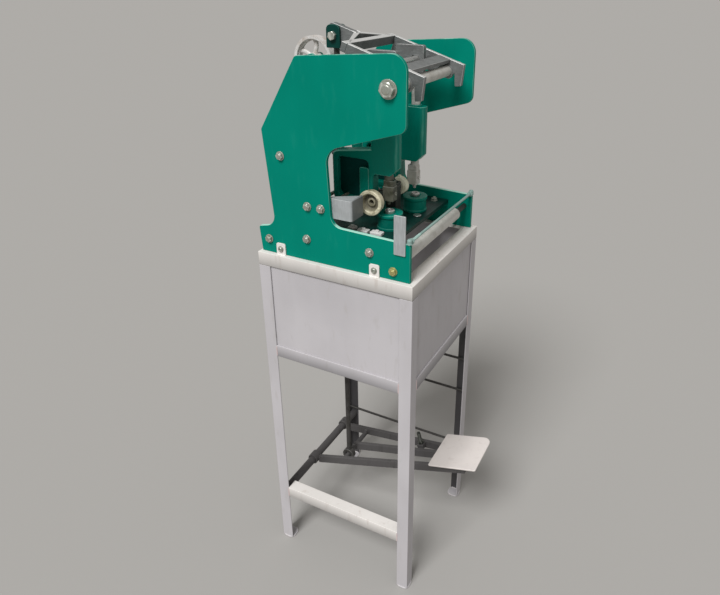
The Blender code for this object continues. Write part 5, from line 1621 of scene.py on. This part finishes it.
@dataclass
class DieSeat(SubAssembly):
    """Green die cup on the bed with its flange screws, and the hardened die."""

    side: str
    flange: float = 0.0262
    flange_height: float = 0.005
    cup: float = 0.0268
    neck: float = 0.0248
    bore: float = 0.0065
    seat: float = 0.0115
    stem: float = 0.006
    die: float = 0.010
    mouth: float = 0.0055
    # painted shade on the cup below its rim
    shade: float = 0.1

    def build(self) -> None:
        """Build the cup and the die on the line of their CAD nodes."""
        node = f"die_cup_{self.side}"
        low, high = span(node)
        x, y = (float(value) for value in middle(node)[:2])
        base = low[2]
        rim = high[2]
        ledge = base + self.flange_height
        profile = eased([(base, self.bore), (base, self.flange), (ledge, self.flange),
                         (ledge, self.neck), (rim - 0.009, self.neck),
                         (rim - 0.006, self.cup), (rim, self.cup), (rim, self.seat + 0.0035),
                         (rim - 0.0015, self.seat), (rim - 0.0015, self.bore)], 0.0008)
        cup = turned(profile, Axis.Z, x, y, 64, looped=True)
        # painted shade below the rim
        cup.shade = np.where(cup.points[..., 2] < rim - 0.003, self.shade, 0)
        self.piece(f"{node}_turned", [cup], DEEP_GREEN, Body.MACHINE, [node])
        node = f"die_{self.side}"
        low, high = span(node)
        top = high[2]
        profile = eased([(low[2], 0.0004), (low[2], self.stem), (rim - 0.0012, self.stem),
                         (rim - 0.0012, self.die), (top - 0.002, self.die), (top, self.die - 0.0022),
                         (top, self.mouth), (top - 0.003, self.mouth - 0.0008),
                         (top - 0.004, 0.0004)], 0.0005)
        self.piece(f"{node}_ground", [turned(profile, Axis.Z, x, y, 56)], GROUND, Body.MACHINE, [node])


@dataclass
class FeedGear(SubAssembly):
    """Feed shaft with its ratchet wheel, spring washers and collar, and the cream hopper drum."""

    drum: float = 0.0262
    cavity: float = 0.018
    cavity_depth: float = 0.012
    # painted shade at the cavity's floor
    cavity_shade: float = 0.9
    rivets: int = 6
    rivet_radius: float = 0.0024
    shaft: float = 0.005
    drum_bore: float = 0.0053
    collar: float = 0.019
    collar_bore: float = 0.0055
    collar_face: float = 0.0135
    collar_low: float = 0.020
    collar_width: float = 0.020
    knob: float = 0.0036
    hub: float = 0.010
    teeth: int = 18
    ratchet_radius: float = 0.0172
    tooth_depth: float = 0.0022
    washers: int = 5
    washer_radius: float = 0.0125
    washer_start: float = 0.030
    washer_pitch: float = 0.007
    washer_width: float = 0.0035
    block_screw: float = 0.0058

    def ratchet(self, low: float, high: float) -> Shell:
        """Ratchet wheel: the radius grows steadily over each tooth and drops at its end.

        Args:
            low: Left face.
            high: Right face.

        Returns:
            The wheel's skin.
        """
        angle = np.linspace(0, math.tau, self.teeth * 10, endpoint=False)
        climb = (angle * self.teeth / math.tau) % 1
        reach = self.ratchet_radius - self.tooth_depth * (1 - climb)
        outline = np.stack([reach * np.cos(angle), reach * np.sin(angle)], axis=1)
        return prism(outline, Axis.X, low, high, 0.0003)

    def build(self) -> None:
        """Build the shaft's parts and the drum on the feed axis, and dress the bearing block."""
        drum = span("feed_drum")
        bearing = span("feed_bearing")
        axis = middle("feed_drum")
        place = Place((0.0, float(axis[1]), float(axis[2])))
        self.shafting(place, drum[1][0], bearing[0][0])
        self.clamp_collar(place)
        self.hopper(place, drum[0][0], drum[1][0])
        self.bearing(*bearing, axis)

    def shafting(self, place: Place, drum_end: float, bearing_start: float) -> None:
        """Shaft with its long bush, the ratchet wheel and the spring washers.

        Args:
            place: Frame of the sub-assembly.
            drum_end: Right face of the drum.
            bearing_start: Left face of the bearing.
        """
        start = drum_end + GAP
        rod = disc(Axis.X, 0, 0, self.shaft, drum_end - 0.006, span("feed_shaft")[1][0], 0.0006)
        bush = disc(Axis.X, 0, 0, self.hub, start, bearing_start - GAP, 0.0008)
        wheel = self.ratchet(start + 0.0008, start + 0.0062)
        lows = [start + self.washer_start + self.washer_pitch * step for step in range(self.washers)]
        ribs = [disc(Axis.X, 0, 0, self.washer_radius, low, low + self.washer_width, 0.0009, 40)
                for low in lows]
        shells = [shell.at(place) for shell in [rod, bush, wheel] + ribs]
        self.piece("feed_shaft_set", shells, DARK, Body.FEED, ["feed_shaft"])

    def clamp_collar(self, place: Place) -> None:
        """Cream collar with slanting shoulders and the knob of its set screw.

        Args:
            place: Frame of the sub-assembly.
        """
        low, high = self.collar_low, self.collar_low + self.collar_width
        profile = eased([(low, self.collar_bore), (low, self.collar_face), (low + 0.003, self.collar),
                         (high - 0.003, self.collar), (high, self.collar_face),
                         (high, self.collar_bore)], 0.0012)
        collar = turned(profile, Axis.X, 0, 0, 56, looped=True)
        knob = disc(Axis.Z, (low + high) / 2, 0, self.knob, self.collar - 0.001,
                    self.collar + 0.0035, 0.0007, 28)
        # the collar's paler cream is painted light
        self.piece("feed_collar", [collar.at(place), knob.at(place)], LIT_CREAM, Body.FEED)

    def hopper(self, place: Place, left: float, right: float) -> None:
        """Cream drum: a rim with rivets round a cavity darkened towards its floor by painted shade, and
        a stepped back.

        Args:
            place: Frame of the sub-assembly.
            left: Its open face.
            right: Its back.
        """
        floor = left + self.cavity_depth
        profile = eased([(right, self.drum_bore), (right, 0.0150), (right - 0.005, 0.0175),
                         (right - 0.008, self.drum - 0.002), (left + 0.006, self.drum - 0.001),
                         (left + 0.004, self.drum), (left, self.drum - 0.0006),
                         (left, self.cavity + 0.002), (left + 0.002, self.cavity),
                         (floor, self.cavity - 0.003), (floor, 0.0095), (floor - 0.004, 0.0085),
                         (floor - 0.004, self.drum_bore)], 0.0012)
        body = turned(profile, Axis.X, 0, 0, 72, looped=True)
        # painted shade that deepens towards the cavity's floor
        radius = np.hypot(body.points[..., 1], body.points[..., 2])
        depth = np.clip((body.points[..., 0] - left) / self.cavity_depth, 0, 1)
        body.shade = np.where(radius < self.cavity + 0.001, depth * self.cavity_shade, 0)
        rivets = []
        for step in range(self.rivets):
            turn = math.tau * step / self.rivets + 0.4
            reach = self.drum - 0.0042
            rivets.append(disc(Axis.X, reach * math.cos(turn), reach * math.sin(turn),
                               self.rivet_radius, left - 0.0009, left + 0.003, 0.0006, 20))
        shells = [shell.at(place) for shell in [body] + rivets]
        self.piece("feed_drum_casting", shells, CREAM, Body.FEED, ["feed_drum"])

    def bearing(self, low: Array, high: Array, axis: Array) -> None:
        """Split bearing block with a screw in its cap.

        Args:
            low: Lowest corner of the CAD node.
            high: Highest corner of the CAD node.
            axis: Point on the feed axis.
        """
        top = high[2] - 0.010
        block = prism(ring_box(low[0], high[0], low[1], high[1], 0.003), Axis.Z, low[2], top, 0.0012)
        plan = ring_box(low[0] + 0.001, high[0] - 0.001, low[1] - 0.0012, high[1] + 0.0012, 0.003)
        cap = prism(plan, Axis.Z, axis[2] + 0.0008, axis[2] + 0.0098, 0.0012)
        x, y = (low[0] + high[0]) / 2, (low[1] + high[1]) / 2
        screw = hexagon(Axis.Z, x, y, self.block_screw, top - 0.0002, top + 0.0055, 0.5)
        end = thread(Axis.Z, x, y, 0.0034, top + 0.003, high[2], 0.001)
        self.piece("feed_bearing_block", [block, cap, screw, end], DARK, Body.MACHINE,
                   ["feed_bearing"])


@dataclass
class TopLever(SubAssembly):
    """Lever frame of flat bars: arms with front legs, cross bars, yoke, tail, sleeve and ram pin."""

    slope: float = math.radians(17.3)
    arm_x: float = 0.095
    arm_width: float = 0.010
    arm_front: float = -0.031
    arm_rear: float = 0.131
    arm_top: float = 0.024
    arm_bottom: float = -0.014
    boss_front: float = -0.0145
    notch: Pair = (-0.0175, 0.002)
    leg_foot: tuple[Pair, Pair] = ((-0.0265, -0.0228), (-0.0385, -0.0175))
    cross_length: float = 0.025
    cross_height: float = 0.008
    bar_width: float = 0.012
    bar_height: float = 0.018
    apex: float = 0.176
    tail_end: float = 0.230
    tail_half: float = 0.008
    tail_height: float = 0.031
    bar_corner: float = 0.0012
    bar_edge: float = 0.0009
    sleeve_radius: float = 0.011
    sleeve_bore: float = 0.0073
    weld_ring: float = 0.0022
    pin_radius: float = 0.008
    yoke_bead_radius: float = 0.0018

    def place(self) -> Place:
        """Frame of the lever's pivot."""
        centre = middle("pivot_bolt")
        return Place((0.0, float(centre[1]), float(centre[2])), self.slope)

    def arms(self, place: Place) -> None:
        """Two flat arms, each with its slanting front leg.

        Args:
            place: Frame of the sub-assembly.
        """
        (rear_y, rear_z), (front_y, front_z) = self.leg_foot
        outline = rounded([(self.arm_front, self.arm_top, 0.002), (self.arm_rear, self.arm_top, 0.0015),
                           (self.arm_rear, self.arm_bottom, 0.0015),
                           (self.boss_front + 0.003, self.arm_bottom, 0.008),
                           (self.boss_front, 0, 0.003), (*self.notch, 0.0015),
                           (rear_y, rear_z, 0.002), (front_y, front_z, 0.002)])
        for side, way in (("left", -1), ("right", 1)):
            low = way * self.arm_x - self.arm_width / 2
            arm = prism(outline, Axis.X, low, low + self.arm_width, self.bar_edge)
            rings = []
            for face, sign in ((low, -1), (low + self.arm_width, 1)):
                ends = sorted((face - sign * 0.0006, face + sign * 0.0016))
                rings.append(sleeve(Axis.X, 0, 0, self.sleeve_radius + self.weld_ring,
                                    self.sleeve_radius - 0.0005, *ends, 0.0007))
            # painted highlight along the arms' up-facing edges
            arm.wear_and_highlight = np.maximum(arm.wear_and_highlight, upward_highlight(arm))
            shells = [shell.at(place) for shell in [arm] + rings]
            self.piece(f"lever_arm_{side}_bar", shells, STEEL, Body.TOP_LEVER, [f"lever_arm_{side}"])

    def bars(self, place: Place) -> None:
        """Cross bar, sleeve and ram pin.

        Args:
            place: Frame of the sub-assembly.
        """
        inside = self.arm_x - self.arm_width / 2 - GAP
        flat = prism(ring_box(-inside, inside, 0, self.cross_length, self.bar_corner), Axis.Z,
                     self.arm_top - self.cross_height, self.arm_top, self.bar_edge).at(place)
        self.piece("lever_cross_bar_flat", [flat], STEEL, Body.TOP_LEVER, ["lever_cross_bar"])
        low, high = span("pivot_sleeve")
        pipe = sleeve(Axis.X, 0, 0, self.sleeve_radius, self.sleeve_bore, low[0], high[0], 0.0012, 64)
        self.piece("pivot_sleeve_tube", [pipe.at(place)], SHAFTING, Body.TOP_LEVER, ["pivot_sleeve"])
        low, high = span("ram_pin")
        centre = middle("ram_pin")
        pin = disc(Axis.X, centre[1], centre[2], self.pin_radius, low[0], high[0], 0.0012)
        self.piece("ram_pin_ground", [pin], GROUND, Body.TOP_LEVER, ["ram_pin"])

    def yoke(self, place: Place) -> None:
        """Rear bar, two bars that slant to the tail, and the bored tail.

        Args:
            place: Frame of the sub-assembly.
        """
        low = self.arm_top - self.bar_height
        outer = self.arm_x + self.arm_width / 2
        rear = self.arm_rear + GAP
        plan = ring_box(-outer, outer, rear, rear + self.bar_width, self.bar_corner)
        shells = [painted_highlight_top(prism(plan, Axis.Z, low, self.arm_top, self.bar_edge))]
        for way in (-1, 1):
            foot = way * (outer - self.bar_width)
            plan = rounded([(way * outer, rear + 0.0005, 0.001), (foot, rear + 0.0005, 0.001),
                            (-way * 0.0005, self.apex - self.bar_width, 0.001),
                            (-way * 0.0005, self.apex, 0.001)])
            shells.append(painted_highlight_top(prism(plan, Axis.Z, low, self.arm_top, self.bar_edge)))
        tail = rounded([(self.apex - self.bar_width, self.arm_top - self.tail_height, 0.003),
                        (self.tail_end, self.arm_top - self.tail_height, 0.008),
                        (self.tail_end, self.arm_top, 0.008),
                        (self.apex - self.bar_width, self.arm_top, 0.003)])
        shells.append(prism(tail, Axis.X, -self.tail_half, self.tail_half, 0.001))
        top = self.arm_top - 0.0004
        for way in (-1, 1):
            x = way * (self.tail_half + 0.0005)
            seams = (((way * (outer - 0.002), rear, top), (way * (outer - 0.011), rear, top)),
                     ((x, self.apex - 0.010, top), (x, self.apex, top)))
            shells += [weld_bead(start, end, self.yoke_bead_radius) for start, end in seams]
        shells = [shell.at(place) for shell in shells]
        self.piece("lever_yoke_frame", shells, STEEL, Body.TOP_LEVER, ["lever_yoke"])

    def build(self) -> None:
        """Build the whole lever."""
        place = self.place()
        self.arms(place)
        self.bars(place)
        self.yoke(place)


@dataclass
class PullRod(SubAssembly):
    """Pull rod with its collar and eye, the green clevis above it and the spring round it."""

    clevis_wall: float = 0.006
    clevis_half: float = 0.0155
    clevis_drop: float = 0.0235
    clevis_rise: float = 0.021
    clevis_floor: float = 0.008
    tail_half: float = 0.0083
    rod: float = 0.006
    eye: float = 0.016
    eye_half: float = 0.007
    eye_bore: float = 0.0078
    eye_bead: float = 0.002
    lock_nut: float = 0.0105
    threaded: float = 0.045
    pin: float = 0.0048
    pin_head: float = 0.009
    collar: float = 0.018
    collar_height: float = 0.008
    spring_height: float = 0.120
    spring_radius: float = 0.0135
    wire: float = 0.0014
    turns: int = 11
    squashed_share: float = 0.719

    def build(self) -> None:
        """Build the rod, the clevis and the spring."""
        low, high = span("pull_rod")
        x, y = 0.0, float(middle("tail_clevis")[1])
        eye_z = float(low[2]) + self.eye
        spring_low = float(span("return_spring")[0][2])
        collar_low = spring_low + self.spring_height + GAP
        collar_top = collar_low + self.collar_height
        rod = disc(Axis.Z, x, y, self.rod, eye_z + self.eye_bore, high[2], 0.0006, 40)
        collar = disc(Axis.Z, x, y, self.collar, collar_low, collar_top, 0.0012)
        nut = hexagon(Axis.Z, x, y, self.lock_nut, collar_top - 0.0002, collar_top + 0.008, 0.2)
        screwed = thread(Axis.Z, x, y, self.rod + 0.0003, collar_top, collar_top + self.threaded)
        eye = sleeve(Axis.X, y, eye_z, self.eye, self.eye_bore, -self.eye_half, self.eye_half, 0.0012)
        crest = eye_z + self.eye + 0.0004
        bead = weld_bead((x - 0.005, y, crest), (x + 0.005, y, crest), self.eye_bead)
        self.piece("pull_rod_set", [rod, collar, nut, screwed, eye, bead], ROD_STEEL, Body.PULL_ROD,
                   ["pull_rod"])
        self.clevis()
        self.spring(y, spring_low)

    def clevis(self) -> None:
        """Fork with two round-topped cheeks, a floor, and the pin with its hexagon ends."""
        base = float(span("tail_clevis")[0][2])
        place = Place((0.0, float(middle("tail_clevis")[1]), base + self.clevis_drop))
        half = self.clevis_half
        outline = rounded([(-half, -self.clevis_drop, 0.002), (half, -self.clevis_drop, 0.002),
                           (half, self.clevis_rise, 0.010), (-half, self.clevis_rise, 0.010)])
        outer = self.tail_half + self.clevis_wall
        shells = []
        ends = [disc(Axis.X, 0, 0, self.pin, -outer, outer, 0.0005, 32)]
        for way in (-1, 1):
            shells.append(prism(outline, Axis.X, *sorted((way * self.tail_half, way * outer)), 0.0012))
            ends.append(hexagon(Axis.X, 0, 0, self.pin_head, way * (outer + 0.0002),
                                way * (outer + 0.0068), 0.3))
        floor = ring_box(-half, half, -self.clevis_drop, -self.clevis_drop + self.clevis_floor, 0.0015)
        shells.append(prism(floor, Axis.X, -outer + 0.001, outer - 0.001, 0.0005))
        shells = [shell.at(place) for shell in shells]
        self.piece("tail_clevis_fork", shells, OILY_GREEN, Body.PULL_ROD, ["tail_clevis"])
        self.piece("tail_clevis_pin", [end.at(place) for end in ends], ZINC, Body.PULL_ROD)

    def spring(self, y: float, base: float) -> None:
        """Helix whose height climbs by a smooth step, so that its end coils lie closed and flat.

        Args:
            y: Place from front to back.
            base: Height of its foot.
        """
        share = np.linspace(0, 1, self.turns * 32 + 1)
        angle = math.tau * self.turns * share
        dead = 1.0 / self.turns
        climb = np.clip((share - 0.6 * dead) / (1 - 1.2 * dead), 0, 1)
        height = base + self.wire + (self.spring_height - 2 * self.wire) * climb
        path = np.stack([self.spring_radius * np.cos(angle),
                         y + self.spring_radius * np.sin(angle), height], axis=1)
        coil = self.piece("return_spring_coil", [tube(path, self.wire, 12)], SPRING_WIRE,
                          Body.MACHINE, ["return_spring"])
        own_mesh(coil)


@dataclass
class Pedal(SubAssembly):
    """Welded pedal frame of three flat bars on a rear shaft, its stop bolt and its pale plate."""

    slope: float = math.radians(15.6)
    hub: float = 0.014
    hub_bore: float = 0.0103
    hub_length: float = 0.024
    hubs: Pair = (-0.037, 0.117)
    bar_width: float = 0.010
    bar_depth: float = 0.020
    bar_drop: float = 0.006
    bar_start: float = 0.010
    bar_end: float = 0.430
    left_bar: Pair = (-0.034, -0.008)
    right_bar: Pair = (0.112, 0.050)
    middle_bar: Pair = (0.034, 0.034)
    cross_radius: float = 0.006
    cross_level: float = 0.086
    pad: tuple[float, float, float, float] = (-0.025, 0.100, 0.125, 0.466)
    pad_thickness: float = 0.004
    lug_reach: float = 0.282
    lug_side: float = 0.018
    lug_height: float = 0.012
    cross_bead: float = 0.0022
    hub_bead: float = 0.0024
    bolt_radius: float = 0.005
    bolt_nut: float = 0.0085
    bolt_rise: float = 0.034

    def bar_x(self, bar: Pair, along: float) -> float:
        """Sideways place of a bar at a distance from the shaft."""
        return bar[0] + (bar[1] - bar[0]) * (along - self.bar_start) / (self.bar_end - self.bar_start)

    def bar(self, bar: Pair, start: float, top: float) -> Shell:
        """Flat bar on edge: its rounded section is carried along the slanting line of the bar.

        Args:
            bar: Its place across at both ends.
            start: Distance from the shaft.
            top: Level of its top edge.

        Returns:
            The bar's skin.
        """
        half = self.bar_width / 2
        section = ring_box(-half, half, top - self.bar_depth, top, 0.0012)
        along = np.array([start, start + 0.001, self.bar_end - 0.001, self.bar_end])
        shrink = np.array([0.90, 1.0, 1.0, 0.90])[:, None]
        x = np.array([self.bar_x(bar, value) for value in along])[:, None] + section[:, 0] * shrink
        middle_z = top - self.bar_depth / 2
        z = middle_z + (section[:, 1] - middle_z) * shrink
        points = np.stack(np.broadcast_arrays(x, -along[:, None], z), axis=-1)
        return Shell(points, np.broadcast_to(0.4, points.shape[:2]))

    def build(self) -> None:
        """Build the frame, the stop bolt and the plate in the pedal's own frame."""
        axis = middle("pedal_shaft")
        place = Place((0.0, float(axis[1]), float(axis[2])), -self.slope)
        top = self.bar_depth / 2 - self.bar_drop
        cross = (self.cross_level - self.bar_drop * math.sin(self.slope)) / math.cos(self.slope)
        shells = [sleeve(Axis.X, 0, 0, self.hub, self.hub_bore, hub - self.hub_length / 2,
                         hub + self.hub_length / 2, 0.0012) for hub in self.hubs]
        shells += [self.bar(self.left_bar, self.bar_start, top),
                   self.bar(self.right_bar, self.bar_start, top), self.bar(self.middle_bar, cross, top)]
        left, right = self.bar_x(self.left_bar, cross), self.bar_x(self.right_bar, cross)
        shells.append(disc(Axis.X, -cross, -self.bar_drop, self.cross_radius, left, right, 0.0006, 36))
        side = self.bar_width / 2 + 0.0005
        z = -self.bar_drop + 0.005
        for x in (left + side, right - side, self.middle_bar[0] - side, self.middle_bar[0] + side):
            shells.append(weld_bead((x, -cross - 0.005, z), (x, -cross + 0.005, z), self.cross_bead))
        z = top - 0.005
        for bar in (self.left_bar, self.right_bar):
            x = self.bar_x(bar, self.bar_start + 0.004)
            shells.append(weld_bead((x - 0.006, -self.hub, z), (x + 0.006, -self.hub, z),
                                    self.hub_bead))
        lug_high = self.bar_x(self.right_bar, self.lug_reach) - self.bar_width / 2 + 0.0005
        lug_low = lug_high - self.lug_side
        shells.append(prism(ring_box(lug_low, lug_high, -self.lug_reach - self.lug_side / 2,
                                     -self.lug_reach + self.lug_side / 2, 0.0015), Axis.Z,
                            top - self.lug_height, top, 0.0009))
        shells = [shell.at(place) for shell in shells]
        self.piece("pedal_frame_welded", shells, SHADY_GREY, Body.PEDAL, ["pedal_frame"])
        self.stop_bolt(place, (lug_low + lug_high) / 2, top)
        self.plate(place, top)

    def stop_bolt(self, place: Place, x: float, top: float) -> None:
        """Threaded stop bolt with its lock nut and a domed end.

        Args:
            place: Frame of the sub-assembly.
            x: Place across.
            top: Level of the bars' top edge.
        """
        y = -self.lug_reach
        bolt = thread(Axis.Z, x, y, self.bolt_radius, top - self.lug_height - 0.004, top + 0.030)
        nut = hexagon(Axis.Z, x, y, self.bolt_nut, top + GAP, top + 0.007 + GAP, 0.35)
        neck, crest = self.bolt_radius - 0.0005, top + self.bolt_rise
        dome = turned(eased([(crest - 0.006, neck), (crest - 0.0015, neck), (crest, 0.002),
                             (crest, 0.0004)], 0.0006), Axis.Z, x, y, 32)
        shells = [shell.at(place) for shell in (bolt, nut, dome)]
        self.piece("pedal_stop_bolt_set", shells, DARK, Body.PEDAL, ["pedal_stop_bolt"])

    def plate(self, place: Place, top: float) -> None:
        """Pale foot plate with one large corner.

        Args:
            place: Frame of the sub-assembly.
            top: Level of the bars' top edge.
        """
        left, right, length, reach = self.pad
        low = top + GAP
        rear = -reach + length
        outline = rounded([(left, -reach, 0.004), (right, -reach, 0.022), (right, rear, 0.004),
                           (left, rear, 0.004)], 10)
        shell = prism(outline, Axis.Z, low, low + self.pad_thickness, 0.0010).at(place)
        self.piece("pedal_plate_pressed", [shell], PALE, Body.PEDAL, ["pedal_plate"])


@dataclass
class RearWheel(SubAssembly):
    """Five-spoked idler wheel with a channelled rim, and the green fork that carries it."""

    radius: float = 0.0465
    half: float = 0.011
    rim: float = 0.010
    hub: float = 0.012
    spokes: int = 5
    wall: float = 0.005
    play: float = 0.0015
    foot_width: float = 0.034
    top_width: float = 0.022
    crotch: float = 0.056
    foot_drop: float = 0.016
    spoke_root: float = 0.006
    spoke_sweep: float = 0.16
    spoke_half: Pair = (0.0036, 0.0052)
    bore: float = 0.0048
    pin: float = 0.005
    pin_head: float = 0.008

    def spoke(self, turn: float) -> Shell:
        """Spoke: an ellipse carried along a slightly swept radius, wide at both ends, slim between.

        Args:
            turn: Angle of the spoke.

        Returns:
            The spoke's skin.
        """
        thin, wide = self.spoke_half
        root = self.spoke_root
        share = np.linspace(0, 1, 24)
        reach = root + (self.radius - self.rim * 0.6 - root) * share
        sweep = turn + self.spoke_sweep * np.sin(math.pi * share)
        flare = 1 + 0.7 * (2 * share - 1) ** 4
        angle = np.arange(24) * math.tau / 24
        across = wide * flare[:, None] * np.cos(angle)
        x = thin * np.sin(angle) * np.ones_like(flare)[:, None]
        y = reach[:, None] * np.cos(sweep)[:, None] - across * np.sin(sweep)[:, None]
        z = reach[:, None] * np.sin(sweep)[:, None] + across * np.cos(sweep)[:, None]
        return Shell(np.stack([x, y, z], axis=-1), np.zeros(x.shape))

    def build(self) -> None:
        """Build the wheel about its pin, and the fork about the back tie rod."""
        centre = middle("rear_wheel")
        place = Place(tuple(float(value) for value in centre))
        half, inner = self.half, self.radius - self.rim
        lip = inner + 0.003
        profile = eased([(-half, self.radius), (half, self.radius), (half, lip), (half - 0.004, lip),
                         (half - 0.0065, inner), (0.0065 - half, inner), (0.004 - half, lip),
                         (-half, lip), (-half, self.radius - 0.0005)], 0.0009)
        rim = turned(profile, Axis.X, 0, 0, 96, looped=True)
        hub = sleeve(Axis.X, 0, 0, self.hub, self.bore, -half, half, 0.0016, 56)
        turns = [math.tau * step / self.spokes + math.pi / 2 for step in range(self.spokes)]
        spokes = [self.spoke(turn) for turn in turns]
        shells = [shell.at(place) for shell in [rim, hub] + spokes]
        self.piece("rear_wheel_casting", shells, PALE_STEEL, Body.REAR_WHEEL, ["rear_wheel"])
        inside = half + self.play
        outer = inside + self.wall
        pin = [disc(Axis.X, 0, 0, self.pin, -outer, outer, 0.0005, 32)]
        for way in (-1, 1):
            pin.append(hexagon(Axis.X, 0, 0, self.pin_head, way * (outer + GAP),
                               way * (outer + GAP + 0.005), 0.1))
        self.piece("wheel_pin", [shell.at(place) for shell in pin], ZINC, Body.REAR_WHEEL)
        self.fork(centre, inside, outer)

    def fork(self, centre: Array, inside: float, outer: float) -> None:
        """Two tapered cheeks joined by a solid foot.

        Args:
            centre: Centre of the wheel.
            inside: Inner face of a cheek.
            outer: Outer face of a cheek.
        """
        foot = middle("tie_rod_back")
        rise = np.array([centre[1] - foot[1], centre[2] - foot[2]])
        length = float(np.linalg.norm(rise))
        lean = math.atan2(-rise[0], rise[1])
        place = Place((float(centre[0]), float(foot[1]), float(foot[2])), lean)
        top = length + self.top_width / 2
        wide, slim = self.foot_width / 2, self.top_width / 2
        waist, crotch = wide - 0.003, length - self.crotch
        sole = [(-wide, -self.foot_drop, 0.008), (wide, -self.foot_drop, 0.008)]
        cheek = rounded(sole + [(slim, top, 0.009), (-slim, top, 0.009)])
        block = rounded(sole + [(waist, crotch, 0.003), (-waist, crotch, 0.003)])
        shells = [prism(cheek, Axis.X, -outer, -inside, 0.001),
                  prism(cheek, Axis.X, inside, outer, 0.001),
                  prism(block, Axis.X, -inside - 0.001, inside + 0.001, 0.0004)]
        shells = [shell.at(place) for shell in shells]
        self.piece("wheel_fork_casting", shells, DEEP_GREEN, Body.MACHINE, ["wheel_fork"])


@dataclass
class Studio:
    """Plain pale floor, soft daylight from the left and the photograph's camera."""

    tone: Triple = srgb(173, 171, 168)
    floor_radius: float = 60.0
    floor_tones: Pair = (0.875, 0.82)
    lens: float = 30.83
    sensor: float = 36.0
    shift: Pair = (-0.0625, -0.0688)
    azimuth: float = math.radians(-64.19)
    elevation: float = math.radians(23.92)
    roll: float = math.radians(0.78)
    eye: Triple = (-1.1031, -0.6118, 1.3532)
    sun_way: Triple = (-0.62, 0.01, 0.78)
    sun_strength: float = 3.0
    sun_angle: float = math.radians(24)
    sky_strength: float = 1.0

    def floor(self) -> None:
        """Round floor in the pale grey of the backdrop."""
        angle = np.arange(96) * math.tau / 96
        ring = self.floor_radius * np.stack([np.cos(angle), np.sin(angle), 0 * angle], axis=1)
        mesh = bpy.data.meshes.new("studio_floor")
        mesh.from_pydata(ring.tolist(), [], [list(range(96))])
        made = bpy.data.materials.new("studio_floor_grey")
        graph = Graph(made)
        clouds = graph.noise(2.0, 2.0)
        paler, darker = (tuple(share * value for value in self.tone) for share in self.floor_tones)
        colour = graph.mix(clouds * 0.05, paler, darker)
        graph.surface(colour, 0.9, graph.bump(clouds, 0.0001, 0.2), 0.0, 0.0)
        mesh.materials.append(made)
        thing = bpy.data.objects.new("studio_floor", mesh)
        bpy.context.scene.collection.objects.link(thing)

    def light(self) -> None:
        """Even sky in the backdrop's grey, and one wide soft sun from the upper left."""
        world = bpy.data.worlds.new("studio_sky")
        bpy.context.scene.world = world
        world.use_nodes = True
        background = world.node_tree.nodes["Background"]
        background.inputs["Color"].default_value = (*self.tone, 1.0)
        background.inputs["Strength"].default_value = self.sky_strength
        lamp = bpy.data.lights.new("soft_sun", "SUN")
        lamp.energy = self.sun_strength
        lamp.angle = self.sun_angle
        sun = bpy.data.objects.new("soft_sun", lamp)
        sun.rotation_mode = "QUATERNION"
        sun.rotation_quaternion = Vector(self.sun_way).to_track_quat("Z", "Y")
        bpy.context.scene.collection.objects.link(sun)

    def camera(self) -> None:
        """Camera at the photograph's place, with its tilt and its off-centre crop."""
        sine, cosine = math.sin(self.azimuth), math.cos(self.azimuth)
        back = Vector((sine * math.cos(self.elevation), -cosine * math.cos(self.elevation),
                       math.sin(self.elevation)))
        level = Vector((cosine, sine, 0))
        upright = back.cross(level)
        right = level * math.cos(self.roll) + upright * math.sin(self.roll)
        up = upright * math.cos(self.roll) - level * math.sin(self.roll)
        data = bpy.data.cameras.new("photo_camera")
        data.sensor_width = self.sensor
        data.lens = self.lens
        data.shift_x, data.shift_y = self.shift
        data.clip_start = 0.02
        thing = bpy.data.objects.new("photo_camera", data)
        turn = Matrix((right, up, back)).transposed().to_4x4()
        turn.translation = Vector(self.eye) + Vector((0, STAND_CENTRE_Y, 0))
        thing.matrix_world = turn
        bpy.context.scene.collection.objects.link(thing)
        bpy.context.scene.camera = thing

    def build(self) -> None:
        """Build the camera, the floor and the light."""
        bpy.context.scene.view_settings.view_transform = "Standard"
        self.camera()
        self.floor()
        self.light()


def main() -> None:
    """Build the studio and then each sub-assembly, from the floor up."""
    logging.basicConfig(level=logging.INFO, format="%(message)s")
    Studio().build()
    Stand().build()
    Pedal().build()
    MachineFrame().build()
    # the last value is the die cup's painted shade, deeper on the near cup in the side plate's shadow
    for side, body, finish, shift, dark in (("left", Body.RAM_LEFT, GREASY_STEEL, 0.0, 0.5),
                                            ("right", Body.RAM_RIGHT, PUNCH_STEEL, 0.0045, 0.1)):
        EyeletHead(side).build()
        Ram(side, body, finish, holder_shift=shift).build()
        DieSeat(side, shade=dark).build()
    FeedGear().build()
    TopLever().build()
    PullRod().build()
    RearWheel().build()


if __name__ == "__main__":
    main()
